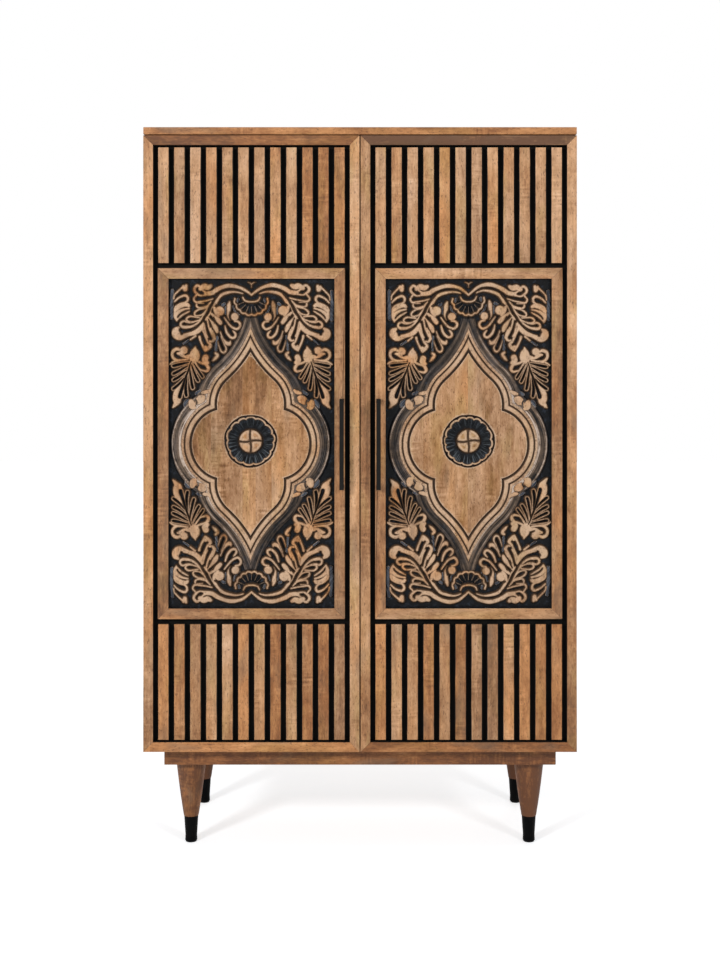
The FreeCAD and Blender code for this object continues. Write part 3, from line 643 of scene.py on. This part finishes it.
# How much faster than the distance the wood leaves the brown edge of a cut.
CRISP = 2.2
CUSP_PETALS = [
    [(99, 92, 5.5), (104.5, 88.5, 9.2), (110, 84, 5.5)],
    [(117, 73, 5), (121.5, 77, 8), (124, 84, 5.5)],
    [(88, 109, 2.2), (89.5, 106, 3.6), (94, 104, 4.4), (101, 102.5, 3)],
]
CORNER_FERN = [
    [(161.5, 298, 1.4), (160, 306, 1.5), (154, 313, 1.7), (148, 319, 1.8), (143, 323, 2)],
    [(160, 292, 1.6), (152.5, 299.5, 1.9), (144.5, 304, 2.2), (137.5, 305.5, 2.6), (133, 301.5, 2.6),
     (133.5, 295.5, 2.3), (138, 291, 1.8), (148, 288, 1.7), (157, 282, 1.9), (160, 276, 2)],
    [(159, 273, 3), (152, 280, 3.8), (143, 285, 4.3), (135.5, 286.5, 4.2), (131.5, 284, 3.2)],
    [(159, 262, 3.2), (152.5, 270, 3.4), (144.5, 274.5, 3), (136, 277, 2.4), (131, 278.5, 1.8)],
    [(159, 272, 2.6), (158.5, 261, 3.6), (156, 252, 1.5)],
    [(156, 253, 1.8), (151.5, 258, 1.9), (144, 264.5, 1.9), (135.5, 269.5, 1.6), (130.5, 272.5, 1.2)],
]
# Cuts into the leaves: veins and the lines between fingers.
VEINS = [
    [(8, 304, 1.4), (15, 313, 1.5), (25, 319, 1.5), (38, 320.5, 1.6), (50, 319, 1.8), (62, 314, 2),
     (70, 305, 2.2), (76, 298, 2.4), (82, 289, 2.4), (87, 280, 2.4), (92, 270, 2.4), (99, 262, 2.3),
     (102, 257, 2), (105, 252, 2), (110, 246, 2), (118, 238, 2.2), (126, 233, 2.4), (135, 230, 2.4),
     (143, 228, 2.8), (145, 225, 2.8)],
    [(75, 284, 1.4), (70, 288, 1), (66, 287, 1)],
    [(103, 225, 1.2), (102, 218, 2), (99, 210, 2.8), (96.5, 206, 3.4)],
    [(98, 252, 1.2), (95.5, 241, 1.6), (92, 231, 2), (87.5, 220, 2.2), (85, 217, 1.6)],
    [(91, 257, 0.8), (87, 248, 1.1), (82, 236, 0.8)],
    [(80, 261, 0.8), (75, 250, 1.2), (69, 243, 1)],
    [(43, 271, 1.2), (45, 262, 1.3), (43, 255, 1)],
    [(130, 190, 1), (131, 184, 1.3), (136, 181, 1.4)],
    [(105, 181, 1.1), (105, 172, 1.1)],
    [(131, 275, 1), (140, 272.5, 1.1), (148, 267, 1.1), (154, 259, 1)],
    [(116, 91, 0.9), (112, 83, 1.1), (113, 76, 0.9)],
]
# Lower strokes left grey with brushed paint, and one painted highlight on the ground.
GREY_STROKES = [
    [(130, 211.5, 1.4), (141, 203.5, 1.2)],
    [(53, 282, 1.6), (54, 274, 1.8), (54, 268, 1.4)],
    [(73, 221, 1.8), (73, 213, 2), (74, 204, 2), (74.5, 190, 1.8)],
    [(132, 86, 3.6), (135.5, 81, 4.6), (137, 75, 3)],
    [(114, 101, 2.6), (106, 106, 3)],
    [(166, 258, 3.4), (166.5, 290, 3.4), (165, 315, 2.8)],
    [(26.5, 299, 2), (27.5, 294, 1.6)],
    [(38, 284, 1.2), (33.5, 273, 1.2), (26, 266, 1)],
    # This dab is a painted highlight on the ground.
    [(56, 288, 2.6), (60, 286, 2.4)],
]
TOP_BUD = [
    [(-7, 333.5, 0.9), (-3, 332, 1.3), (0, 329, 1.3), (3, 332, 1.3), (7, 333.5, 0.9)],
    [(0, 331, 1.1), (0, 323, 1.0)],
]
# How far the leaf work lies above the panel's middle.
TILE_RISE = 1.7
# How much nearer to its edge a dim stroke counts, and how deep inside at most.
DIM_BY = 1.2
DIM_LEAST = 2.4
STEPS_PER_SPAN = 5


def smooth_line(points):
    """Points along a smooth curve through the listed ones."""
    p = np.array(points, float)
    if len(p) < 3:
        return p
    ends = np.vstack([2 * p[0] - p[1], p, 2 * p[-1] - p[-2]])
    t = np.linspace(0, 1, STEPS_PER_SPAN, endpoint=False)[:, None]
    out = []
    for a, b, c, d in zip(ends[:-3], ends[1:-2], ends[2:-1], ends[3:]):
        curve = 2 * b + (c - a) * t + (2 * a - 5 * b + 4 * c - d) * t ** 2 + (3 * b - a - 3 * c + d) * t ** 3
        out.append(curve / 2)
    return np.vstack(out + [p[-1:]])


def distance_to(strokes, u, v, reach):
    """Signed distance from each point to the edge of the nearest stroke, up to reach."""
    best = np.full(u.shape, reach, float)
    for stroke in strokes:
        line = smooth_line(stroke)
        pad = reach + line[:, 2].max()
        near = np.flatnonzero(
            (u > line[:, 0].min() - pad) & (u < line[:, 0].max() + pad)
            & (v > line[:, 1].min() - pad) & (v < line[:, 1].max() + pad)
        )
        if not len(near):
            continue
        pu, pv = u[near], v[near]
        found = best[near]
        if len(line) == 1:
            line = np.vstack([line, line + 0.001])
        for (ax, ay, aw), (bx, by, bw) in zip(line[:-1], line[1:]):
            dx, dy = bx - ax, by - ay
            t = np.clip(((pu - ax) * dx + (pv - ay) * dy) / max(dx * dx + dy * dy, 1e-9), 0, 1)
            d = np.hypot(pu - ax - t * dx, pv - ay - t * dy) - (aw + t * (bw - aw))
            np.minimum(found, d, out=found)
        best[near] = found
    return best


def ease(x, low, high):
    t = np.clip((x - low) / (high - low), 0, 1)
    return t * t * (3 - 2 * t)


SIDE_ARC = (53.0, 71.5)
SIDE_SQUASH = 0.955
SHOULDER_ARC = (0.0, 82.0, 72.0)
OGEE_ARC = (208.8, 313.9, 240.0)


def outside_medallion(u, v):
    """Distance outside the medallion's inner groove."""
    side = np.hypot(u - SIDE_ARC[0], v * SIDE_SQUASH) - SIDE_ARC[1]
    shoulder = np.hypot(u - SHOULDER_ARC[0], v - SHOULDER_ARC[1]) - SHOULDER_ARC[2]
    ogee = OGEE_ARC[2] - np.hypot(u - OGEE_ARC[0], v - OGEE_ARC[1])
    du = OGEE_ARC[0] - SHOULDER_ARC[0]
    dv = OGEE_ARC[1] - SHOULDER_ARC[1]
    above = (u - SHOULDER_ARC[0]) * dv - (v - SHOULDER_ARC[1]) * du < 0
    return np.minimum(side, np.where(above, ogee, shoulder))


def trough(x, centre, half, depth):
    """A rounded groove across x."""
    return depth * np.clip(1 - ((x - centre) / half) ** 2, 0, None) ** 0.6


def from_shell_middle(turn, reach, half):
    """A stroke's point at that angle from straight down and that far from the shell's middle."""
    return reach * math.sin(turn), SHELL_MIDDLE - reach * math.cos(turn), half


def shell_rim():
    turns = np.linspace(0, 1.6, 25)
    scallops = np.abs(np.sin(2 * LOBES_PER_RIGHT_ANGLE * turns))
    return [from_shell_middle(turn, 32.0 + 2.8 * scallop, 1.7) for turn, scallop in zip(turns, scallops)]


def shell_ribs():
    turns = [k * math.pi / 2 / LOBES_PER_RIGHT_ANGLE for k in range(LOBES_PER_RIGHT_ANGLE)]
    return [[from_shell_middle(turn, 17, 0.5), from_shell_middle(turn, 30, 0.8)] for turn in turns]


LOBES = [[(u, v, half + LOBE_RIM) for u, v, half in cut] for cut in LOBE_CUTS]
LEAF_STROKES = SCROLL + UPPER_LEAF + INNER_LEAF + SHELL + LOWER_LEAF + LOBES + CUSP_PETALS + CORNER_FERN
LEAF_STROKES += [shell_rim()]
RIBS = shell_ribs()
# Height of the flat wood over the sunk ground.
FACE = 7.0
STROKE_SPREAD = 0.6
# The rosette: its middle over the panel's, its radius, where the petals end, and its button and cross.
ROSETTE_RISE = 5.0
ROSETTE_EDGE = 54.9
PETAL_ENDS = 44.2
BUTTON = 24.3
CROSS_HALF = 1.8
# How much faster than the distance the flat field leaves its scorched edge.
STEEP = 3.5
# The medallion's band, outward from its groove.
GROOVE_HALF = 2.2
BAND_CROWN = 0.5
LINE_AT = 12.8
LINE_HALF = 1.4
SLOPE_STARTS = 19.5
# Height of the hollow outside the medallion, where its edge runs slanting and where it is round.
SLANTING_AT = [-3, 14, 19, 24, 28.5, 33.5, 36.5, 39.5]
SLANTING_HEIGHT = [7, 7, 6.4, 3.6, 2.4, 4.0, 2.2, 0]
ROUND_AT = [-3, 14, 19, 24, 28.5, 33, 38, 41, 43.5]
ROUND_HEIGHT = [7, 7, 6.6, 5.6, 4.6, 4.4, 5.0, 4.2, 0]
# How much brushed paint there is on it. On the slanting side it dips near the bottom of the hollow, which
# makes that darker.
BRUSHED_SLANTING_AT = [16, 20, 22, 24, 26, 28, 30, 32, 34, 36, 38, 40]
BRUSHED_SLANTING = [0.97, 0.9, 0.85, 0.65, 0.42, 0.3, 0.45, 0.75, 0.8, 0.65, 0.35, 0.0]
BRUSHED_ROUND_AT = [16, 20, 24, 26, 28, 31, 34, 37, 40, 42]
BRUSHED_ROUND = [1.05, 1.02, 0.88, 0.74, 0.62, 0.55, 0.55, 0.55, 0.45, 0.0]
# Brushed paint on the grey strokes and on the shell's ribs. More than 1 is the bluish kind.
COOL_PAINT = 1.5
RIB_PAINT = 0.7
OUTER_LINE_AT = 38.3
OUTER_LINE_WIDTH = 1.7
# The carving's mesh: its first grid, its triangles in the end, and the bend in degrees that stays sharp.
GRID_STEP = 0.8
CARVED_TRIANGLES = 180000
SHARP_ANGLE = 26


def between(x, low, high):
    """Signed distance outside the interval from low to high."""
    return np.maximum(low - x, x - high)


def leaf_layer(u, v, phase):
    """Height, distance outside the bare wood and brushed paint of the leaf work."""
    au, av = np.abs(u), np.abs(v)
    hold = ease(au, 0, 30)
    a, b, c, d = phase
    wu = hold * (1.2 * np.sin(u * 0.031 + v * 0.017 + a) + 0.7 * np.sin(v * 0.052 + b))
    wv = 1.2 * np.sin(u * 0.027 + c) * hold + 0.9 * np.sin(v * 0.023 + u * 0.045 + d) * hold
    qu, qv = au + wu, av - TILE_RISE + wv
    light = distance_to(LEAF_STROKES, qu, qv, 12.0) - STROKE_SPREAD
    dim = distance_to(DIM_STROKES, qu, qv, 12.0) - STROKE_SPREAD
    veins = distance_to(VEINS, qu, qv, 4.0)
    cuts = distance_to(LOBE_CUTS, qu, qv, 4.0)
    light, dim = np.maximum(light, -veins), np.maximum(dim, -veins)
    bud = distance_to(TOP_BUD, u, v - TILE_RISE, 6.0)
    light = np.minimum(light, np.where(v > 0, bud, 6.0))
    ribs = distance_to(RIBS, qu, qv, 8.0)
    grey = distance_to(GREY_STROKES, qu, qv, 8.0)
    paint = np.where(ribs < grey, RIB_PAINT, COOL_PAINT)
    grey = np.minimum(grey, ribs)
    shape = np.minimum(np.maximum(light, -cuts), dim)
    light = np.maximum(light, -CRISP * cuts)
    inside = FACE - 2.0 * np.exp(np.minimum(shape, 0) / 1.5)
    height = inside - 1.0 * ease(shape, 0, 0.6) - 1.5 * np.maximum(shape, 0)
    light = np.minimum(light, np.maximum(dim + DIM_BY, -DIM_LEAST))
    grey_height = 4.6 - 1.2 * np.exp(np.minimum(grey, 0) / 1.2) - 1.4 * np.maximum(grey, 0)
    brushed = paint * (1 - ease(grey, 0.0, 0.8)) * (grey_height > height)
    return np.maximum(height, grey_height), light, brushed


def medallion_layer(u, v, brushed_and_lit_side, hollow):
    """The same three of the medallion's field, band and the hollow round it.

    One side is paler, part brushed paint, part painted light; hollow says how much less paint the hollow's
    middle has.
    """
    au, av = np.abs(u), np.abs(v)
    g = outside_medallion(au, av)
    slanting = ease(av, 85, 150)
    height = np.interp(g, ROUND_AT, ROUND_HEIGHT)
    height = height + slanting * (np.interp(g, SLANTING_AT, SLANTING_HEIGHT) - height)
    height = height - trough(g, 0, GROOVE_HALF, 3.2) - trough(g, LINE_AT, LINE_HALF, 2.2)
    height = height + BAND_CROWN * np.exp(-((g - LINE_AT / 2) / 2.6) ** 2)
    field = STEEP * (g + GROOVE_HALF)
    bare = np.minimum(field, between(g, GROOVE_HALF, LINE_AT - LINE_HALF))
    bare = np.minimum(bare, CRISP * between(g, LINE_AT + LINE_HALF, SLOPE_STARTS))
    # Painted light: one side of the hollow is made paler, partly brushed paint and partly painted light
    # falling on that side.
    brushed_and_lit_paler = 0.93 + 0.2 * np.tanh(brushed_and_lit_side * u / 20)
    brushed = np.interp(g, BRUSHED_ROUND_AT, BRUSHED_ROUND, left=0)
    brushed = brushed * (1 - hollow * np.exp(-((g - 30.5) / 3.6) ** 2))
    slanting_paint = np.interp(g, BRUSHED_SLANTING_AT, BRUSHED_SLANTING, left=0)
    brushed = brushed + slanting * (slanting_paint - brushed)
    line = (1 - slanting) * np.exp(-((g - OUTER_LINE_AT) / OUTER_LINE_WIDTH) ** 2)
    brushed = np.minimum(np.maximum(brushed * brushed_and_lit_paler, line), 1)
    fade = 1 - ease(av, 260, 266)
    return height * fade, np.where(fade > 0.5, bare, 4.0), brushed * fade


def rosette_layer(u, v, lobes, phase):
    """Height, distance outside the bare wood, and how far inside the rosette's outer edge each point is."""
    v = v - ROSETTE_RISE
    r = np.hypot(u, v)
    turn = np.arctan2(v, u) + 0.06 * np.sin(3 * np.arctan2(v, u) + phase)
    lobe = np.abs(np.sin(lobes * turn / 2 + phase))
    outer = ROSETTE_EDGE + 0.5 * np.sin(3 * turn + phase) + 0.4 * np.sin(7 * turn)
    scallop = lobe ** 0.6
    groove = outer - 2.2 + 0.9 * (scallop - 0.6) + 0.4 * np.sin(5 * turn + phase)
    inner = PETAL_ENDS + 4.2 * scallop + 0.5 * np.sin(5 * turn + 2 * phase)
    dish = 6.0 - 4.6 * ease(inner - r, 0, 14)
    dish = dish + 1.2 * (1 - lobe) ** 2.5 * ease(r, BUTTON, BUTTON + 12)
    button = 7.2 - 0.8 * (r / BUTTON) ** 4
    height = np.where(r < BUTTON, button, dish)
    height = np.where(r > BUTTON, height - 1.2 * (1 - ease(r, BUTTON, BUTTON + 2.5)), height)
    rim_height = 6.8 - 0.9 * (1 - ease(r - inner, 0, 2)) - 0.3 * ease(r - inner, 3, 5)
    height = np.where(r > inner, rim_height, height)
    height = height - trough(r, groove, 2.0, 3.0)
    across = 1.8 * np.sin(math.pi * u / BUTTON)
    upright = -1.2 * np.sin(math.pi * v / BUTTON)
    cross = np.minimum(np.abs(v - across), np.abs(u - upright)) - CROSS_HALF
    height = np.where(r < BUTTON, height - 2.0 * (1 - ease(cross, -1.6, 0.2)), height)
    rim = 2.2 * between(r, inner, np.minimum(groove - 1.6, inner + 3.8))
    bare = np.minimum(np.maximum(r - BUTTON + 0.5, -cross), rim)
    bare = np.minimum(bare, STEEP * (groove + 1.6 - r))
    return height, bare, outer - r


def relief(u, v, lobes, phase, brushed_and_lit_side, lean, hollow):
    """Height, distance outside the bare wood, brushed paint, and distance outside the medallion."""
    leaves = leaf_layer(u, v, phase)
    mu, mv = u - lean[0], v - lean[1]
    medallion = medallion_layer(mu, mv, brushed_and_lit_side, hollow)
    height, bare, brushed = np.where(medallion[0] > leaves[0], medallion, leaves)
    flower_height, flower_bare, within = rosette_layer(mu, v, lobes, phase[0])
    inside = within > 0
    height = np.where(inside, flower_height, height)
    # Round the rosette the field counts as near an edge, so it is darker close to the rosette.
    bare = np.where(inside, flower_bare, np.maximum(bare, np.clip(STEEP * within, -8, 0)))
    brushed = np.where(inside, 0, brushed)
    return np.clip(height, 0, None), bare, brushed, outside_medallion(np.abs(mu), np.abs(mv))


def carved_mesh(name, **hand):
    """One door's carved board as a closed mesh about its own middle, and a sparse net of its points."""
    us, vs = (np.linspace(-half, half, int(2 * half / GRID_STEP) + 1) for half in PANEL_HALVES)
    u, v = (grid.ravel() for grid in np.meshgrid(us, vs))
    height = relief(u, v, **hand)[0]
    columns, rows = len(us), len(vs)
    index = np.arange(columns * rows).reshape(rows, columns)
    quads = np.stack([index[:-1, :-1], index[:-1, 1:], index[1:, 1:], index[1:, :-1]], axis=-1)
    rim = np.concatenate([index[0, :-1], index[:-1, -1], index[-1, :0:-1], index[:0:-1, 0]])
    back = columns * rows + np.arange(len(rim))
    walls = np.stack([rim, back, np.roll(back, -1), np.roll(rim, -1)], axis=-1)
    middle = columns * rows + len(rim)
    fan = [(middle, b, a) for a, b in zip(back, np.roll(back, -1))]
    face_y = CARVED_FACE_Y + (FACE - height) * MM
    points = np.column_stack([u * MM, face_y, v * MM])
    behind = np.column_stack([u[rim] * MM, np.full(len(rim), BOARD_Y), v[rim] * MM])
    points = np.vstack([points, behind, [[0.0, BOARD_Y, 0.0]]])
    mesh = bpy.data.meshes.new(name)
    mesh.from_pydata(points.tolist(), [], [*quads.reshape(-1, 4).tolist(), *walls.tolist(), *fan])
    return mesh, index[2:-2:5, 2:-2:5].ravel()


def thinned(piece, faces, kept):
    """Swaps the piece's mesh for one with about that many triangles, which still has the kept points."""
    triangles = sum(len(p.vertices) - 2 for p in piece.data.polygons)
    others = np.setdiff1d(np.arange(len(piece.data.vertices)), kept)
    piece.vertex_groups.new(name="may_go").add(others.tolist(), 1.0, "REPLACE")
    collapse = piece.modifiers.new("thin", "DECIMATE")
    collapse.ratio = min(1.0, faces / triangles)
    collapse.vertex_group = "may_go"
    graph = bpy.context.evaluated_depsgraph_get()
    piece.data = bpy.data.meshes.new_from_object(piece.evaluated_get(graph))
    piece.modifiers.clear()
    piece.vertex_groups.clear()


def note_paint(mesh, **hand):
    """Keeps on each vertex the distance to bare wood, the brushed paint and the distance to the medallion."""
    places = np.zeros(len(mesh.vertices) * 3, np.float32)
    mesh.vertices.foreach_get("co", places)
    u, _, v = places.astype(float).reshape(-1, 3).T / MM
    bare, brushed, outline = relief(u, v, **hand)[1:]
    for name, values in (("bare_edge", np.clip(bare, -8, 6)), ("brushed", brushed), ("outline", outline)):
        made = mesh.attributes.new(name, "FLOAT", "POINT")
        made.data.foreach_set("value", values.astype(np.float32))


DOOR_ROUNDING = 0.0006
# Tone and warmth of each board, and how much paler it is one metre higher up.
DOOR_BOARDS = {
    "left_door": {
        "top_rail": (0.16, 0.95, 0.0),
        "bottom_rail": (0.5, 1.6, 0.0),
        "outer_stile": (0.56, 0.6, 0.1),
        "inner_stile": (0.64, 0.6, 0.0),
    },
    "right_door": {
        "top_rail": (0.0, 0.2, 0.0),
        "bottom_rail": (0.22, 1.3, 0.0),
        "outer_stile": (0.52, 0.6, 0.28),
        "inner_stile": (0.4, 0.5, 0.0),
    },
}
# How much paler the left upright of each panel frame is than its right one.
LEFT_FRAME_TONE = {"left_door": -0.12, "right_door": 0.17}
# Tones of the legs. The rear legs' low tone is painted shade, as they stand in the case's shadow.
LEG_TONES_AND_REAR_SHADE = {"front_left": 0.17, "front_right": 0.08, "rear_left": -0.27, "rear_right": -0.27}
CASE_FITTINGS = (
    "back_panel_screws", "shelf_pins", "leg_bolts", "leg_bolt_nuts", "hinge_case_leaves", "hinge_pins",
    "hinge_case_screws",
)
CARVED_DRAW = {"left_door": 3, "right_door": 7}
# Tones of the leaves and of the medallion's field, and how much paler the field is one metre higher up.
CARVED_TONES = {"left_door": (0.44, 0.33, -1.1), "right_door": (0.5, 0.44, 0.4)}
CARVINGS = {
    "left_door": dict(lobes=14, phase=(0.4, 1.1, 2.3, 0.2), brushed_and_lit_side=-1, lean=(-2.0, -0.6), hollow=0.0),
    "right_door": dict(lobes=16, phase=(2.1, 0.3, 4.0, 1.7), brushed_and_lit_side=1, lean=(-0.4, -2.2), hollow=0.35),
}


def make_carving(door):
    """The carved board of one door, in the place of the CAD node's blank."""
    hand = CARVINGS[door]
    name = door + "_carving"
    mesh, kept = carved_mesh(name, **hand)
    piece = bpy.data.objects.new(name, mesh)
    bpy.context.scene.collection.objects.link(piece)
    thinned(piece, CARVED_TRIANGLES, kept)
    note_paint(piece.data, **hand)
    piece.data.shade_smooth()
    piece.data.set_sharp_from_angle(angle=math.radians(SHARP_ANGLE))
    middle = DOOR_SIGN[door] * PANEL_X
    piece.data.transform(Matrix.Translation((middle, 0, PANEL_Z)))
    flower = (middle + hand["lean"][0] * MM, PANEL_Z + ROSETTE_RISE * MM)
    piece.data.materials.append(carved_finish(name, CARVED_DRAW[door], flower, CARVED_TONES[door]))
    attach(piece, door)
    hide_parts(door + "_carved_panel")


def dress_doors():
    """Finishes of the doors' own boards and fittings."""
    for number, door in enumerate(DOORS):
        for count, (member, (tone, warmth, rise)) in enumerate(DOOR_BOARDS[door].items()):
            axis = "X" if member.endswith("rail") else "Z"
            draw = 11 + 5 * number + count
            dress(f"{door}_{member}", board, axis, tone, draw, warmth, painted=FRONT + PAINT_DEPTH, rise=rise,
                  soft=DOOR_ROUNDING)
        dress(door + "_upper_slats", slats_finish, 2 + number, 0.53, 0.15)
        dress(door + "_lower_slats", slats_finish, 6 + number, 0.47, 0.3)
        values = (DOOR_SIGN[door], 21 + number, LEFT_FRAME_TONE[door])
        dress(door + "_panel_frame", mitred_finish, *values, soft=DOOR_ROUNDING)
        wear(door + "_backing_board", STAIN)
        wear(door + "_handle", HANDLE_FINISH)
        for fitting in ("handle_screws", "hinge_leaves", "hinge_screws", "strike_plate"):
            wear(f"{door}_{fitting}", ZINC)


def dress_case():
    """Finishes of the case, its plinth, legs and inside."""
    dress("top_panel", board, "X", 0.34, 1, 1.5, plank=(0.095, "Y"), soft=0.0009)
    for count, node in enumerate(("left_side_panel", "right_side_panel")):
        dress(node, board, "Z", 0.55, 31 + count, plank=(0.088, "Y"), soft=0.0008)
    for count, node in enumerate(("lower_shelf", "middle_shelf", "upper_shelf", "bottom_panel")):
        dress(node, board, "X", 0.55, 41 + count, figure=0.8, plank=(0.09, "Y"), soft=0.0007)
    for count, (side, axis) in enumerate({"front": "X", "rear": "X", "left": "Y", "right": "Y"}.items()):
        dress(f"plinth_{side}_rail", board, axis, 0.1, 51 + count, 1.3)
    dress("plinth_corner_blocks", board, "Z", 0.5, 57, figure=0.7)
    dress("back_panel", board, "Z", 0.55, 61, figure=0.8, plank=(0.15, "X"))
    for count, (corner, tone) in enumerate(LEG_TONES_AND_REAR_SHADE.items()):
        dress("leg_" + corner, board, "Z", tone, 71 + count, 1.1)
        wear("ferrule_" + corner, FERRULE_FINISH)
    for node in CASE_FITTINGS:
        wear(node, ZINC)
    wear("leg_glides", moulded_plastic("glide_plastic", GLIDE, 0.5))
    wear("magnetic_catches", moulded_plastic("catch_plastic", CATCH, 0.4))


def area_lamp(name, place, size, power):
    lamp = bpy.data.lights.new(name, "AREA")
    lamp.shape = "SQUARE"
    lamp.size = size
    lamp.energy = power
    holder = bpy.data.objects.new(name, lamp)
    holder.location = place
    holder.rotation_euler = (LAMPS_AIM - holder.location).to_track_quat("-Z", "Y").to_euler()
    bpy.context.scene.collection.objects.link(holder)


def seen_directly(tree):
    """1 for rays from the camera, off gloss and through glass, and 0 for the rest."""
    path = tree.node("LightPath").outputs
    most = tree.math("MAXIMUM", path["Is Camera Ray"], path["Is Glossy Ray"])
    return tree.math("MAXIMUM", most, path["Is Transmission Ray"])


NEAR_GLOW = 0.565
AMBIENT = 0.42
FLOOR_HALF = 9.0
LAMPS_AIM = Vector((0, 0, 0.8))


def make_stage():
    """A plain pale floor that keeps a faint shadow near the object, under a white background."""
    tree, point = new_material("pale_floor")
    seen = seen_directly(tree)
    diffuse = tree.node("BsdfDiffuse", {"Color": FLOOR})
    around = tree.vector("SUBTRACT", tree.scaled(point, 0.7, 1.0, 0.0), (0.0, 0.5, 0.0))
    clear = tree.ease(tree.length(around), 0.67, 0.98)
    clear = tree.math("MAXIMUM", clear, tree.ease(tree.split(around)[1], -0.62, -0.76))
    strength = clear * (1.0 - NEAR_GLOW) + NEAR_GLOW
    glow = tree.node("Emission", {"Color": WHITE, "Strength": seen * strength})
    both = tree.node("AddShader", {0: diffuse.outputs[0], 1: glow.outputs[0]})
    tree.end(both)
    mesh = bpy.data.meshes.new("floor")
    corners = [(-1, -1), (1, -1), (1, 1), (-1, 1)]
    mesh.from_pydata([(x * FLOOR_HALF, y * FLOOR_HALF, 0) for x, y in corners], [], [(0, 1, 2, 3)])
    mesh.materials.append(tree.owner)
    floor = bpy.data.objects.new("floor", mesh)
    bpy.context.scene.collection.objects.link(floor)

    world = bpy.data.worlds.new("studio")
    sky = Tree(world, "ShaderNodeOutputWorld")
    brightness = seen_directly(sky) * (1.0 - AMBIENT) + AMBIENT
    backdrop = sky.node("Background", {"Color": WHITE, "Strength": brightness})
    sky.end(backdrop)
    bpy.context.scene.world = world

    area_lamp("key", (-2.4, -3.3, 2.1), 0.55, 82)
    area_lamp("fill", (2.4, -3.3, 2.1), 0.55, 46)
    area_lamp("back_fill", (0.6, 3.6, 2.6), 2.6, 38)


def make_camera():
    """The photograph's view: level, just left of the middle, high, with the frame shifted down."""
    camera = bpy.data.cameras.new("camera")
    camera.sensor_width = 36
    camera.lens = 51.5
    camera.shift_x = 0.0019
    camera.shift_y = -0.146
    camera.dof.use_dof = False
    holder = bpy.data.objects.new("camera", camera)
    holder.location = (-0.0039, FRONT - 2.85, 1.0715)
    holder.rotation_euler = (math.radians(90), 0, 0)
    bpy.context.scene.collection.objects.link(holder)
    bpy.context.scene.camera = holder


bpy.context.scene.view_settings.view_transform = "Standard"
make_camera()
make_stage()
STAIN = black_stain("black_stain")
HANDLE_FINISH = dull_metal("handle_metal", HANDLE_METAL, 0.45, 0.2, 900, 0.16)
FERRULE_FINISH = dull_metal("ferrule_metal", BLACK_METAL, 0.5, 0.0, 900, 0.05)
ZINC = dull_metal("zinc_steel", STEEL, 0.4, 1.0, 1200)
dress_case()
dress_doors()
for door in DOORS:
    make_carving(door)
